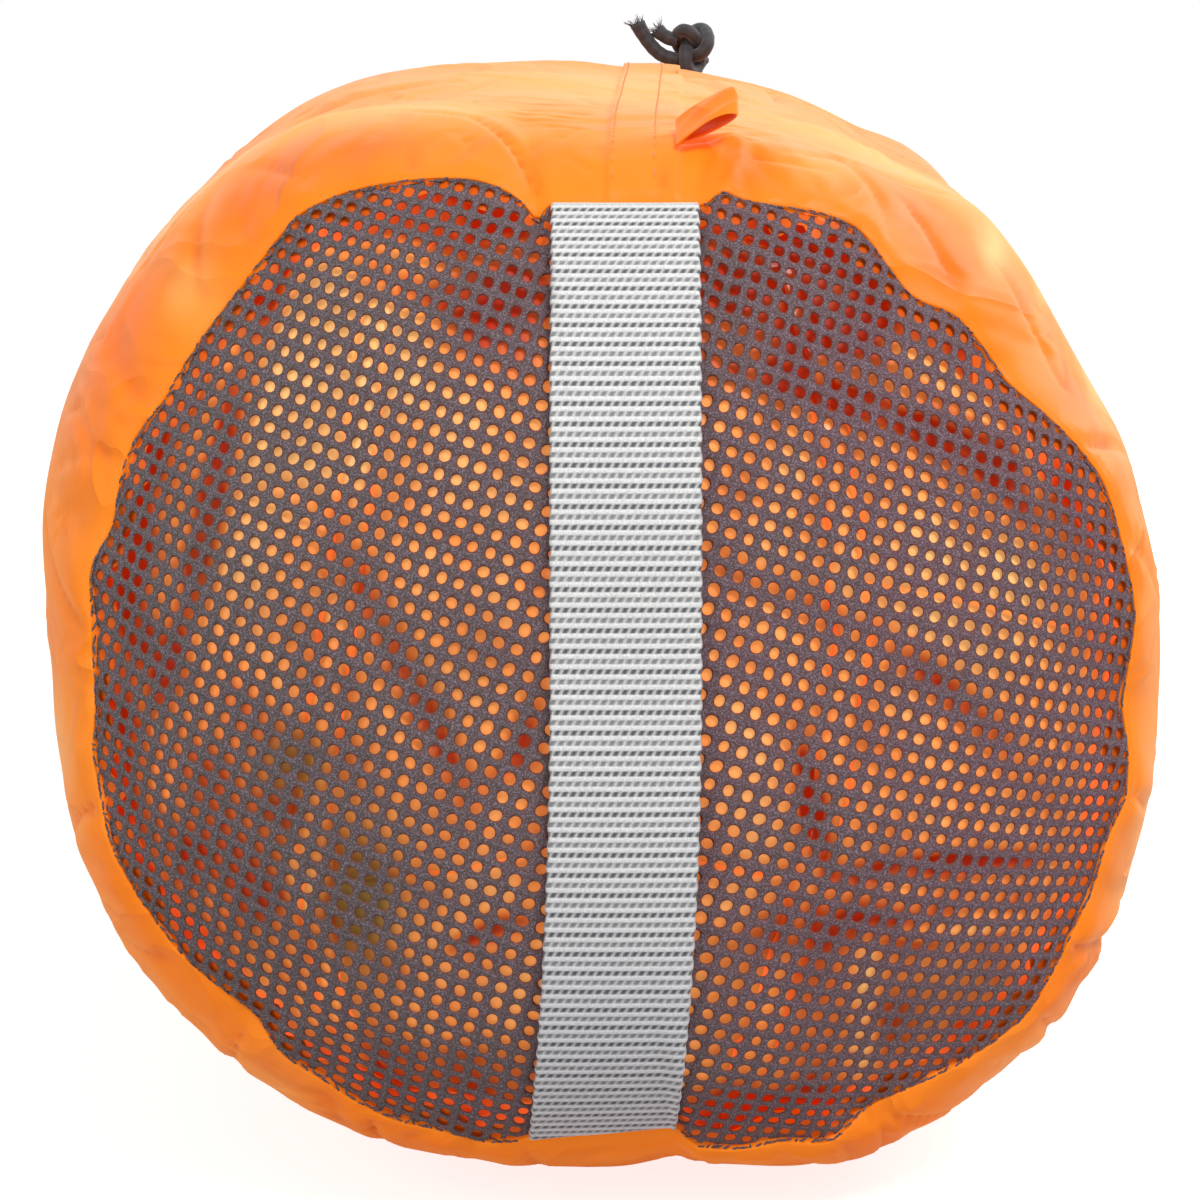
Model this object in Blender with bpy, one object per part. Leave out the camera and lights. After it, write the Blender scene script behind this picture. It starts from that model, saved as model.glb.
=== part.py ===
"""Packed group shelter in its stuff sack, lying on its side.

The sack is a coated nylon tube with a domed mesh end, a webbing handle across that end, a hang loop in
the side seam and a drawcord mouth with a cord lock. The folded shelter fills it. Metres, +Z up. The mesh
end faces -Y, the drawn mouth faces +Y, and the sack rests on z = 0.

A place on the sack is given by s, the distance behind the foremost point of the mesh, and by theta, the
angle about the sack's axis: 0 to the right (+X), 90 degrees at the top.
"""

import math

import bmesh
import bpy
import numpy as np
from mathutils import Matrix, Vector
from mathutils.geometry import delaunay_2d_cdt

MM = 0.001
ANGLE_SLACK = 1e-9

# Clearances
GAP = 0.4 * MM
FOLD_GAP = 0.9 * MM
SLIP = 0.3 * MM

# The sack's cross-section: a mean radius, and the fullness that its folded load gives it.
# Each fullness term is (waves round the sack, height, angle of its first crest in degrees).
BODY_RADIUS = 102.0 * MM
BODY_FULLNESS = ((1, 1.4 * MM, -159), (2, 3.2 * MM, -53), (3, 1.3 * MM, -30), (4, 2.6 * MM, 44))
SEAM_RADIUS = 87.0 * MM
SEAM_FULLNESS = ((2, 3.1 * MM, -28), (3, 1.2 * MM, -16), (4, 0.9 * MM, 22))
AXIS_Z = 98.0 * MM
TOP_SAG = 6.0 * MM
TOP_SAG_SPREAD = 34.0

# The sack along its length
SEAM_S = 25.0 * MM
SHOULDER_LENGTH = 50.0 * MM
REAR_S = 225.0 * MM
MOUTH_S = 303.0 * MM
REAR_ROUNDNESS = 2.6
MOUTH_RADIUS = 19.0 * MM
MOUTH_Z = 92.0 * MM
NECK_LENGTH = 7.0 * MM
END_TILT = 0.11
TILT_FADE = 90.0 * MM

# The wall
WALL_T = 1.0 * MM
LIP_DEPTH = 7.0 * MM
LAP_WIDTH = 11.5 * MM
LAP_STEP = 0.8 * MM
LAP_REACH_LEAST = 70.0 * MM
LAP_EDGE = 0.5 * MM
LAP_FRONT_X = 4.9 * MM
LAP_REAR_X = 9.5 * MM
PLEATS = 12
PLEAT_HEIGHT = 1.2 * MM
PLEAT_START_S = 250.0 * MM
PLEAT_FULL_S = 288.0 * MM
LIP_ROLL = ((0.0 * MM, 1.5 * MM), (0.8 * MM, 0.0 * MM), (2.4 * MM, -0.6 * MM))
SHOULDER_SHARES = (0.035, 0.13, 0.30, 0.60, 1.0)
LENGTH_SHARES = (0.23, 0.5, 0.77)
REAR_SHARES = (0.0, 0.30, 0.52, 0.70, 0.84, 0.93, 0.985, 1.0)
WALL_COLUMNS = 48
COLUMN_CROWDING = 0.15

# The mesh end: a dome on the end seam, with the strap's ends pulling the seam in.
# Each pull is (angle, depth, half-width in degrees).
DOME_HEIGHT = 25.0 * MM
DOME_POWER = 2.4
SEAM_PULLS = ((88.0, 9.5 * MM, 14.5), (269.5, 6.4 * MM, 11.0))
NET_T = 0.8 * MM
NET_PITCH = 10.6 * MM
NET_HOLE_SHARE = 0.62
NET_TURN = 18.0
NET_HOLE_SIDES = 6
NET_HEM = 2.2 * MM
RIM_GAP = 0.6 * MM

# The webbing handle
STRAP_WIDTH = 25.0 * MM
STRAP_T = 1.5 * MM
STRAP_X = 2.6 * MM
STRAP_LEAN = 3.9 * MM
STRAP_BEND = 0.8 * MM
STRAP_RIM_LIFT = 0.3 * MM
STRAP_ROWS = 19
STRAP_COLUMNS = np.linspace(-1, 1, 7)
NOTCH_ROOM = 1.5 * MM

# The hang loop, sewn to the edge of the side seam
LOOP_S = 37.0 * MM
LOOP_WIDTH = 10.0 * MM
LOOP_LENGTH = 14.0 * MM
LOOP_OPEN = 3.4 * MM
LOOP_T = 0.8 * MM
LOOP_LEAN = 45.0
LOOP_ROOT = 1.4 * MM
LOOP_TUCK = 1.1 * MM
LOOP_SEWN = 2.0 * MM
LOOP_TAPER = 0.4
LOOP_SIDES = 16

# The drawcord, the tunnel that it runs in and its two tails
CORD_D = 3.2 * MM
CHANNEL_RADIUS = 18.0 * MM
CHANNEL_DEPTH = 13.0 * MM
CHANNEL_THICK = 8.4 * MM
CHANNEL_GAP = 60.0
RUFFLES = 12
RUFFLE_HEIGHT = 1.2 * MM
TAIL_SPACING = 3.6 * MM
TAIL_SPREAD = 1.3
TAIL_SLOPE = 8.0
TAIL_RUN_ON = 7.2 * MM
TAIL_REST = ((7.0 * MM, 17.0 * MM), (13.0 * MM, 9.0 * MM))
TAIL_ENTRY = 1.2 * MM
KNOT_X = 19.0 * MM
KNOT_S = 268.0 * MM
KNOT_SIZE = (9.4 * MM, 8.8 * MM, 11.4 * MM)
KNOT_WRAP = 0.1
END_CURL = 2.5 * MM
# Each cut end is (name, direction, length, where it leaves the knot's middle).
KNOT_ENDS = (
    ("drawcord_end_left", (-1.0, -0.05, 0.45), 9.0 * MM, (-6.6 * MM, -1.0 * MM, -2.4 * MM)),
    ("drawcord_end_right", (-0.75, 0.0, 0.9), 5.5 * MM, (-5.6 * MM, -1.0 * MM, 2.6 * MM)),
)

# The cord lock: a barrel, a sprung button through it and the two tails through both
LOCK_RISE = 36.0 * MM
LOCK_TRAVEL = 22.0 * MM
BARREL_R = 6.8 * MM
BARREL_WALL = 1.6 * MM
BARREL_TOP = 6.0 * MM
FLOOR_T = 1.0 * MM
SPRING_LENGTH = 4.8 * MM
SPRING_R = 3.0 * MM
SPRING_WIRE = 0.7 * MM
SPRING_TURNS = 3.5
BUTTON_TRAVEL = 3.5 * MM
BUTTON_STOP = 0.5 * MM
BUTTON_HEAD_T = 2.6 * MM
BUTTON_HEAD_R = 6.2 * MM
BUTTON_SOLE = 1.2 * MM

# The packed shelter: folded panels side by side, cut from the space inside the sack.
# Across the sack, u runs from -1 at the left to 1 at the right, and v from -1 at the bottom to 1.
PACK_GAP = 0.9 * MM
PACK_REACH = 11.0
TUCK_ROOM = RIM_GAP + STRAP_T + 2 * GAP
LIP_END_S = SEAM_S + LIP_DEPTH + 1.5 * MM
PLEAT_MARGIN = 20.0 * MM
FOLD_ROUNDING = 4.0 * MM
FOLD_CELLS = 4
WINDOW_SHARE = 0.07
PACK_ROWS = (
    (SEAM_S, 0.0 * MM),
    (LIP_END_S, -19.0 * MM),
    (46.0 * MM, -12.0 * MM),
    (75.0 * MM, -4.0 * MM),
    (130.0 * MM, 0.0 * MM),
    (190.0 * MM, 0.0 * MM),
    (REAR_S, 2.0 * MM),
    (MOUTH_S - 53.0 * MM, 4.0 * MM),
    (MOUTH_S - 36.0 * MM, 6.0 * MM),
    (MOUTH_S - 23.0 * MM, 0.0 * MM),
)
PACK_END_S = MOUTH_S - 6.5 * MM
PACK_REAR_GAP = 2.2 * MM

HALF_LENGTH = (MOUTH_S + NECK_LENGTH + GAP + CHANNEL_DEPTH + STRAP_T + GAP) / 2
FRONT_S = -(STRAP_T + GAP)

ORANGE = (0.86, 0.21, 0.035, 1.0)
DARK_ORANGE = (0.62, 0.12, 0.02, 1.0)
OLIVE = (0.20, 0.15, 0.06, 1.0)
CLEAR = (0.62, 0.60, 0.55, 1.0)
MESH_GREY = (0.125, 0.10, 0.115, 1.0)
WEBBING_GREY = (0.56, 0.55, 0.58, 1.0)
CORD_BLACK = (0.03, 0.03, 0.035, 1.0)
PLASTIC_BLACK = (0.02, 0.02, 0.022, 1.0)
STEEL = (0.55, 0.55, 0.56, 1.0)


def material(name, color, roughness, metallic=0.0):
    made = bpy.data.materials.new(name)
    made.use_nodes = True
    shader = made.node_tree.nodes["Principled BSDF"]
    shader.inputs["Base Color"].default_value = color
    shader.inputs["Roughness"].default_value = roughness
    shader.inputs["Metallic"].default_value = metallic
    return made


def solid(name, points, faces, finish, sharp_angle=35.0):
    """An object from points and faces, with its faces turned outwards."""
    mesh = bpy.data.meshes.new(name)
    mesh.from_pydata([tuple(p) for p in np.asarray(points, float)], [], [tuple(f) for f in faces])
    work = bmesh.new()
    work.from_mesh(mesh)
    bmesh.ops.triangulate(work, faces=work.faces[:])
    bmesh.ops.recalc_face_normals(work, faces=work.faces[:])
    work.to_mesh(mesh)
    work.free()
    mesh.shade_smooth()
    mesh.set_sharp_from_angle(angle=math.radians(sharp_angle))
    mesh.materials.append(finish)
    thing = bpy.data.objects.new(name, mesh)
    bpy.context.scene.collection.objects.link(thing)
    return thing


def waves(theta, terms):
    """The sum of the fullness terms at the angles theta, in radians."""
    total = np.zeros_like(theta)
    for count, height, crest in terms:
        total = total + height * np.cos(count * (theta - math.radians(crest)))
    return total


def turn_from(theta, degrees):
    """How far each angle lies from one direction, in degrees, the short way round."""
    return (np.degrees(theta) - degrees + 180) % 360 - 180


def ease(x):
    x = np.clip(x, 0, 1)
    return x * x * (3 - 2 * x)


def seam_radius(theta):
    """The end seam: a rounded outline, drawn in where the strap's ends are sewn."""
    radius = SEAM_RADIUS + waves(theta, SEAM_FULLNESS)
    for angle, depth, spread in SEAM_PULLS:
        radius = radius - depth * np.exp(-((turn_from(theta, angle) / spread) ** 4))
    return radius


def body_radius(theta):
    sag = TOP_SAG * np.exp(-((turn_from(theta, 90) / TOP_SAG_SPREAD) ** 2))
    return BODY_RADIUS + waves(theta, BODY_FULLNESS) - sag


def sack_radius(theta, s):
    """The wall's outer radius: a quarter ellipse at the front shoulder, a fuller one down to the mouth."""
    front = np.clip((s - SEAM_S) / SHOULDER_LENGTH, 0, 1)
    swell = np.sqrt(1 - (1 - front) ** 2)
    body = body_radius(theta)
    radius = seam_radius(theta) * (1 - swell) + body * swell
    back = np.clip((s - REAR_S) / (MOUTH_S - REAR_S), 0, 1)
    draw = (1 - back**REAR_ROUNDNESS) ** (1 / REAR_ROUNDNESS)
    return MOUTH_RADIUS + (radius - MOUTH_RADIUS) * draw


def wall_s(theta, radius):
    """How far back the wall's rear shoulder has drawn in to a radius."""
    draw = np.clip((radius - MOUTH_RADIUS) / (body_radius(theta) - MOUTH_RADIUS), 0, 1)
    return REAR_S + (MOUTH_S - REAR_S) * (1 - draw**REAR_ROUNDNESS) ** (1 / REAR_ROUNDNESS)


def axis_z(s):
    """The height of the sack's axis: level, then lower at the drawn mouth."""
    return AXIS_Z + (MOUTH_Z - AXIS_Z) * ease((s - REAR_S) / (MOUTH_S - REAR_S))


def place(radius, theta, s, lowest=0.0):
    """World points of places on the sack, laid flat where they would go under the lowest height."""
    x = radius * np.cos(theta)
    z = axis_z(s) + radius * np.sin(theta)
    lean = END_TILT * (z - axis_z(s)) * (1 - ease((s - SEAM_S) / TILT_FADE))
    y = s + lean - FRONT_S - HALF_LENGTH
    return np.stack([x, y, np.maximum(z, lowest)], axis=-1)


def grid_normals(points):
    """Unit normals of a grid whose second direction closes on itself."""
    along = np.gradient(points, axis=0)
    around = np.roll(points, -1, axis=1) - np.roll(points, 1, axis=1)
    normal = np.cross(along, around)
    return normal / np.linalg.norm(normal, axis=-1, keepdims=True)


def closed_shell(outer, inner):
    """Faces of a tube with a wall: outer and inner grids, joined at both ends."""
    rows, columns = outer.shape[:2]
    points = np.concatenate([outer.reshape(-1, 3), inner.reshape(-1, 3)])
    skin = rows * columns
    faces = []
    for j in range(columns):
        k = (j + 1) % columns
        for i in range(rows - 1):
            a, b = i * columns + j, i * columns + k
            c, d = (i + 1) * columns + k, (i + 1) * columns + j
            faces.append((a, b, c, d))
            faces.append((skin + d, skin + c, skin + b, skin + a))
        first, last = j, (rows - 1) * columns + j
        first_k, last_k = k, (rows - 1) * columns + k
        faces.append((first, skin + first, skin + first_k, first_k))
        faces.append((last, last_k, skin + last_k, skin + last))
    return points, faces


def lap_angles(s):
    """The angles of the lapped side seam's edges at s, in radians."""
    middle = LAP_FRONT_X + (LAP_REAR_X - LAP_FRONT_X) * np.clip(s / REAR_S, 0, 1)
    reach = np.maximum(sack_radius(np.full_like(s, math.pi / 2), s), LAP_REACH_LEAST)
    high = math.pi / 2 - (middle - LAP_WIDTH / 2) / reach
    low = math.pi / 2 - (middle + LAP_WIDTH / 2) / reach
    return low, high


def wall_columns(s):
    """Angles round the sack for each row: five for the lap, and the rest crowded towards the strap's ends."""
    low, high = lap_angles(s)
    edge = LAP_EDGE / BODY_RADIUS
    laps = np.stack([low - edge, low, (low + high) / 2, high, high + edge], axis=-1)
    step = 2 * math.pi / WALL_COLUMNS
    rest = np.linspace(math.pi / 2 + 1.1 * step, 2.5 * math.pi - 2.1 * step, WALL_COLUMNS - 3)
    crowding = COLUMN_CROWDING * (1 - ease((s - SEAM_S) / (REAR_S - SEAM_S)))
    return np.concatenate([laps, rest[None] + crowding[:, None] * np.sin(2 * rest[None])], axis=1)


def wall_rows():
    """(extra radius, s) of the wall's rows from its turned-in edge to the mouth, and the edge's row count."""
    lip = [(0.0, SEAM_S + LIP_DEPTH)] + [(extra, SEAM_S + behind) for extra, behind in LIP_ROLL]
    shoulder_end = SEAM_S + SHOULDER_LENGTH
    shoulder = [SEAM_S + share * SHOULDER_LENGTH for share in SHOULDER_SHARES]
    length = [shoulder_end + share * (REAR_S - shoulder_end) for share in LENGTH_SHARES]
    rear = [REAR_S + share * (MOUTH_S - REAR_S) for share in REAR_SHARES]
    return lip + [(0.0, s) for s in shoulder + length + rear], len(lip)


def wall_skins():
    """The wall's outer and inner grids: the sack's shape with the lap's step, the pleats and a short neck."""
    rows, lip_rows = wall_rows()
    extra, s_rows = np.array(rows).T
    theta = wall_columns(s_rows)
    s = np.tile(s_rows[:, None], (1, theta.shape[1]))
    on_lip = (np.arange(len(rows)) < lip_rows)[:, None]
    radius = np.where(on_lip, seam_radius(theta) + extra[:, None], sack_radius(theta, s))
    low, high = lap_angles(s_rows)
    lapped = (theta > low[:, None] - ANGLE_SLACK) & (theta < high[:, None] + ANGLE_SLACK)
    radius = radius + np.where(lapped & ~on_lip, LAP_STEP, 0.0)
    outer = place(radius, theta, s)
    neck = outer[-1:] + np.array([0.0, NECK_LENGTH, 0.0])
    outer = np.concatenate([outer, neck])
    normal = grid_normals(outer)
    normal = normal * np.sign((normal[lip_rows, :, 0] * outer[lip_rows, :, 0]).sum())
    rise = ease((np.append(s_rows, MOUTH_S) - PLEAT_START_S) / (PLEAT_FULL_S - PLEAT_START_S))
    fold = PLEAT_HEIGHT * rise[:, None] * np.cos(PLEATS * np.concatenate([theta, theta[-1:]]))
    outer = outer + normal * fold[..., None]
    outer[..., 2] = np.maximum(outer[..., 2], 0.0)
    return outer, outer - normal * WALL_T


def make_sack_wall():
    outer, inner = wall_skins()
    points, faces = closed_shell(outer, inner)
    return solid("sack_wall", points, faces, material("coated_nylon", ORANGE, 0.42))


def dome(x, q):
    """The mesh dome's outer surface over the end seam: points at x and at q above the sack's axis."""
    theta = np.arctan2(q, x)
    share = np.hypot(x, q) / seam_radius(theta)
    height = DOME_HEIGHT * (1 - np.clip(share, 0, 1.2) ** DOME_POWER)
    y = SEAM_S + END_TILT * q - height - FRONT_S - HALF_LENGTH
    return np.stack([x, y, AXIS_Z + q], axis=-1)


def dome_normal(x, q):
    """The dome's outward unit normal, from its slopes."""
    step = 0.2 * MM
    slope_x = (dome(x + step, q)[..., 1] - dome(x - step, q)[..., 1]) / (2 * step)
    slope_q = (dome(x, q + step)[..., 1] - dome(x, q - step)[..., 1]) / (2 * step)
    normal = np.stack([slope_x, -np.ones_like(slope_x), slope_q], axis=-1)
    return normal / np.linalg.norm(normal, axis=-1, keepdims=True)


def seam_height(x, sign, inset):
    """How far above the axis (sign 1) or below it (sign -1) the end seam runs at x, less an inset."""
    height = np.full_like(x, SEAM_RADIUS)
    for _ in range(8):
        radius = seam_radius(np.arctan2(sign * height, x)) - inset
        height = np.sqrt(radius**2 - x**2)
    return height


def strap_middle(reach):
    """The strap's middle line from its lower end (-1) to its upper end (1): its lower half leans left."""
    return STRAP_X - STRAP_LEAN * np.clip(-reach, 0, 1) ** 2


def strap_tuck(x, sign):
    """How far above or below the axis the strap's middle layer turns in along the seam."""
    return seam_height(x, sign, RIM_GAP + STRAP_T / 2)


def net_outline():
    """The mesh's cut edge: the end seam's outline, with a notch under each sewn-in end of the strap."""
    theta = np.radians(np.arange(0, 360, 4.0))
    radius = seam_radius(theta) - RIM_GAP
    points = np.stack([radius * np.cos(theta), radius * np.sin(theta)], axis=-1)
    half = STRAP_WIDTH / 2 + RIM_GAP
    for sign in (1, -1):
        middle = float(strap_middle(np.array(float(sign))))
        beside = np.abs(points[:, 0] - middle) < half + NOTCH_ROOM
        under = beside & (points[:, 1] * sign > 0)
        keep = points[~under]
        first = int(np.argmax(under))
        x = middle - sign * half * np.linspace(-1, 1, len(STRAP_COLUMNS))
        notch = np.stack([x, sign * seam_height(x, sign, 2 * RIM_GAP + STRAP_T)], axis=-1)
        corners = np.stack([x[[0, -1]], sign * seam_height(x[[0, -1]], sign, RIM_GAP)], axis=-1)
        points = np.concatenate([keep[:first], corners[:1], notch, corners[1:], keep[first:]])
    return points


def inside_outline(points, outline):
    """Which points lie inside a closed outline, by counting the edges that a ray to the right crosses."""
    px, pz = points[:, 0][:, None], points[:, 1][:, None]
    a, b = outline, np.roll(outline, -1, axis=0)
    spans = (a[:, 1] > pz) != (b[:, 1] > pz)
    rise = np.where(b[:, 1] == a[:, 1], 1.0, b[:, 1] - a[:, 1])
    cross = a[:, 0] + (pz - a[:, 1]) * (b[:, 0] - a[:, 0]) / rise
    return (spans & (px < cross)).sum(axis=1) % 2 == 1


def net_holes(outline):
    """Centres of the net's openings: a square lattice, turned, that keeps a hem inside the outline."""
    count = int(1.2 * SEAM_RADIUS / NET_PITCH) + 1
    steps = np.arange(-count, count + 1) * NET_PITCH
    a, b = np.meshgrid(steps, steps)
    turn = math.radians(NET_TURN)
    x = a * math.cos(turn) - b * math.sin(turn)
    z = a * math.sin(turn) + b * math.cos(turn)
    centres = np.stack([x.ravel(), z.ravel()], axis=-1)
    reach = NET_HOLE_SHARE * NET_PITCH / 2 + NET_HEM
    around = np.radians(np.arange(0, 360, 15.0))
    ring = reach * np.stack([np.cos(around), np.sin(around)], axis=-1)
    tested = (centres[:, None] + ring[None]).reshape(-1, 2)
    clear = inside_outline(tested, outline).reshape(len(centres), -1).all(axis=1)
    return centres[clear]


def make_mesh_end():
    """The domed net: a flat pattern of openings, triangulated, laid over the dome and given its thickness."""
    outline = net_outline()
    centres = net_holes(outline)
    radius = NET_HOLE_SHARE * NET_PITCH / 2
    around = np.radians(NET_TURN + np.arange(NET_HOLE_SIDES) * 360.0 / NET_HOLE_SIDES)
    hexagon = radius * np.stack([np.cos(around), np.sin(around)], axis=-1)
    loops = [outline] + [centre + hexagon for centre in centres]
    flat, edges = [], []
    for loop in loops:
        start = len(flat)
        flat += [Vector((float(x), float(z))) for x, z in loop]
        edges += [(start + i, start + (i + 1) % len(loop)) for i in range(len(loop))]
    points, _, faces = delaunay_2d_cdt(flat, edges, [], 0, 1e-7)[:3]
    points = np.array([tuple(p) for p in points])
    faces = np.array([f for f in faces if len(f) == 3])
    middles = points[faces].mean(axis=1)
    apart = np.linalg.norm(middles[:, None] - centres[None], axis=-1).min(axis=1)
    faces = faces[inside_outline(middles, outline) & (apart > 0.9 * radius)]
    front = dome(points[:, 0], points[:, 1])
    back = front - dome_normal(points[:, 0], points[:, 1]) * NET_T
    count = len(points)
    seen = {}
    for a, b, c in faces:
        for start, end in ((a, b), (b, c), (c, a)):
            seen[(start, end)] = True
    rims = [(a, b) for a, b in seen if (b, a) not in seen]
    solid_faces = [tuple(f) for f in faces]
    solid_faces += [tuple(f + count)[::-1] for f in faces]
    solid_faces += [(b, a, a + count, b + count) for a, b in rims]
    print(f"mesh_end has {len(centres)} openings")
    finish = material("knitted_mesh", MESH_GREY, 0.7)
    return solid("mesh_end", np.concatenate([front, back]), solid_faces, finish)


def band(middle, normals, thickness):
    """A flat band from a grid along its middle layer: both faces, both edges and both ends."""
    rows, columns = middle.shape[:2]
    half = normals * thickness / 2
    points = np.concatenate([(middle + half).reshape(-1, 3), (middle - half).reshape(-1, 3)])
    skin = rows * columns
    faces = []
    for i in range(rows - 1):
        for j in range(columns - 1):
            a, b = i * columns + j, i * columns + j + 1
            c, d = a + columns + 1, a + columns
            faces.append((a, b, c, d))
            faces.append((skin + d, skin + c, skin + b, skin + a))
        left, right = i * columns, i * columns + columns - 1
        faces.append((left, left + columns, skin + left + columns, skin + left))
        faces.append((right + columns, right, skin + right, skin + right + columns))
    for j in range(columns - 1):
        last = (rows - 1) * columns + j
        faces.append((j + 1, j, skin + j, skin + j + 1))
        faces.append((last, last + 1, skin + last + 1, skin + last))
    return points, faces


def strap_tucked_rows(sign):
    """The strap's two rows inside the end seam: at the bend, and at its sewn-in end."""
    x = strap_middle(sign) + STRAP_COLUMNS * STRAP_WIDTH / 2
    q = sign * strap_tuck(x, sign)
    y = SEAM_S + END_TILT * q - FRONT_S - HALF_LENGTH
    return np.array([np.stack([x, y + back, AXIS_Z + q], axis=-1) for back in (-STRAP_BEND, LIP_DEPTH)])


def make_webbing_handle():
    """Webbing that hugs the dome from seam to seam, its ends turned in between the mesh and the wall."""
    reach = np.sin(np.linspace(-math.pi / 2, math.pi / 2, STRAP_ROWS))[:, None]
    x = strap_middle(reach) + STRAP_COLUMNS * STRAP_WIDTH / 2
    top = strap_tuck(x[-1], 1) - STRAP_BEND
    bottom = STRAP_BEND - strap_tuck(x[0], -1)
    q = (top + bottom) / 2 + (top - bottom) / 2 * reach
    normal = dome_normal(x, q)
    lift = GAP + STRAP_T / 2 + STRAP_RIM_LIFT * reach[..., None] ** 6
    middle = dome(x, q) + normal * lift
    upright = np.tile((0.0, 0.0, 1.0), (2, len(STRAP_COLUMNS), 1))
    middle = np.concatenate([strap_tucked_rows(-1)[::-1], middle, strap_tucked_rows(1)])
    normal = np.concatenate([-upright, normal, upright])
    points, faces = band(middle, normal, STRAP_T)
    return solid("webbing_handle", points, faces, material("grey_webbing", WEBBING_GREY, 0.6))


def wall_point(x, s, lift=0.0):
    """A point over the top of the wall at x and s, and the wall's outward direction there."""
    def surface(x_at, s_at):
        angle = math.pi / 2
        for _ in range(8):
            radius = float(sack_radius(np.array(angle), np.array(s_at)))
            angle = math.acos(max(-1.0, min(1.0, x_at / radius)))
        return place(np.array(radius), np.array(angle), np.array(s_at))

    step = 1 * MM
    across = surface(x + step, s) - surface(x - step, s)
    normal = np.cross(across, surface(x, s + step) - surface(x, s - step))
    normal = normal / np.linalg.norm(normal)
    return Vector(surface(x, s) + normal * lift), Vector(normal)


def loop_frame():
    """The hang loop's hinge: its middle, and its direction along the seam."""
    x = LAP_FRONT_X + LAP_WIDTH / 2 + LOOP_ROOT
    front, _ = wall_point(x, LOOP_S - LOOP_WIDTH / 2)
    back, _ = wall_point(x, LOOP_S + LOOP_WIDTH / 2)
    middle, _ = wall_point(x, LOOP_S, LOOP_ROOT + GAP)
    return middle, (back - front).normalized()


def make_hang_loop():
    """A folded strip of the wall's fabric that stands off the side seam, open from front to back."""
    middle, along = loop_frame()
    lean = math.radians(LOOP_LEAN)
    out = Vector((math.cos(lean), 0.0, math.sin(lean)))
    out = (out - along * out.dot(along)).normalized()
    side = along.cross(out)
    phase = np.linspace(0, 2 * math.pi, LOOP_SIDES, endpoint=False)
    run = (1 - np.cos(phase)) / 2
    bulge = np.sin(phase) * (LOOP_TAPER + (1 - LOOP_TAPER) * run)
    root = -LOOP_TUCK
    outer_run = root + LOOP_LENGTH * run
    inner_run = root + LOOP_SEWN + (LOOP_LENGTH - LOOP_T - LOOP_SEWN) * run
    outline = (zip(outer_run, bulge * (LOOP_OPEN / 2 + LOOP_T)), zip(inner_run, bulge * LOOP_OPEN / 2))
    section = [[out * float(r) + side * float(w) for r, w in line] for line in outline]
    rings = []
    for shift in (-LOOP_WIDTH / 2, LOOP_WIDTH / 2):
        for line in section:
            rings.append([middle + along * shift + point for point in line])
    points = [tuple(p) for ring in rings for p in ring]
    count = len(phase)
    faces = []
    for i in range(count):
        j = (i + 1) % count
        outer_front, inner_front, outer_back, inner_back = (k * count for k in range(4))
        faces.append((outer_front + i, outer_front + j, outer_back + j, outer_back + i))
        faces.append((inner_front + j, inner_front + i, inner_back + i, inner_back + j))
        faces.append((outer_front + j, outer_front + i, inner_front + i, inner_front + j))
        faces.append((outer_back + i, outer_back + j, inner_back + j, inner_back + i))
    loop = solid("hang_loop", points, faces, material("loop_nylon", DARK_ORANGE, 0.45))
    loop.data.transform(Matrix.Translation(-middle))
    loop.location = middle
    return loop


def ring_s():
    """How far back the drawcord's ring lies."""
    return MOUTH_S + NECK_LENGTH + GAP + CHANNEL_DEPTH / 2


def ring_point(theta, radius=CHANNEL_RADIUS, s=None):
    s = ring_s() if s is None else s
    y = s - FRONT_S - HALF_LENGTH
    return Vector((radius * math.cos(theta), y, MOUTH_Z + radius * math.sin(theta)))


def make_cord_channel():
    """The ruffled tunnel round the mouth, open at the top where both ends of the cord come out."""
    half_gap = math.radians(CHANNEL_GAP / 2)
    stations = np.linspace(math.pi / 2 + half_gap, 2.5 * math.pi - half_gap, 10 * 4 + 1)
    turns = np.linspace(0, 2 * math.pi, 8, endpoint=False)
    bore = CORD_D / 2 + SLIP
    rings = []
    for theta in stations:
        ruffle = RUFFLE_HEIGHT * math.cos(RUFFLES * theta)
        outer, inner = [], []
        for turn in turns:
            rear = (1 + math.sin(turn)) / 2
            across = CHANNEL_THICK / 2 * math.cos(turn) + ruffle * (0.2 + 0.8 * rear)
            back = CHANNEL_DEPTH / 2 * math.sin(turn)
            outer.append(ring_point(theta, CHANNEL_RADIUS + across, ring_s() + back))
            inner.append(
                ring_point(theta, CHANNEL_RADIUS + bore / math.cos(math.pi / 8) * math.cos(turn),
                           ring_s() + bore / math.cos(math.pi / 8) * math.sin(turn))
            )
        rings.append(outer + inner)
    points = [tuple(p) for ring in rings for p in ring]
    sides, size = len(turns), 2 * len(turns)
    faces = []
    for i in range(len(rings) - 1):
        for j in range(sides):
            k = (j + 1) % sides
            a, b, c, d = i * size + j, i * size + k, (i + 1) * size + k, (i + 1) * size + j
            faces.append((a, b, c, d))
            faces.append((d + sides, c + sides, b + sides, a + sides))
    last = (len(rings) - 1) * size
    for j in range(sides):
        k = (j + 1) % sides
        faces.append((j, j + sides, k + sides, k))
        faces.append((last + j, last + k, last + k + sides, last + j + sides))
    return solid("cord_channel", points, faces, material("channel_nylon", ORANGE, 0.45), 50.0)


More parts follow.
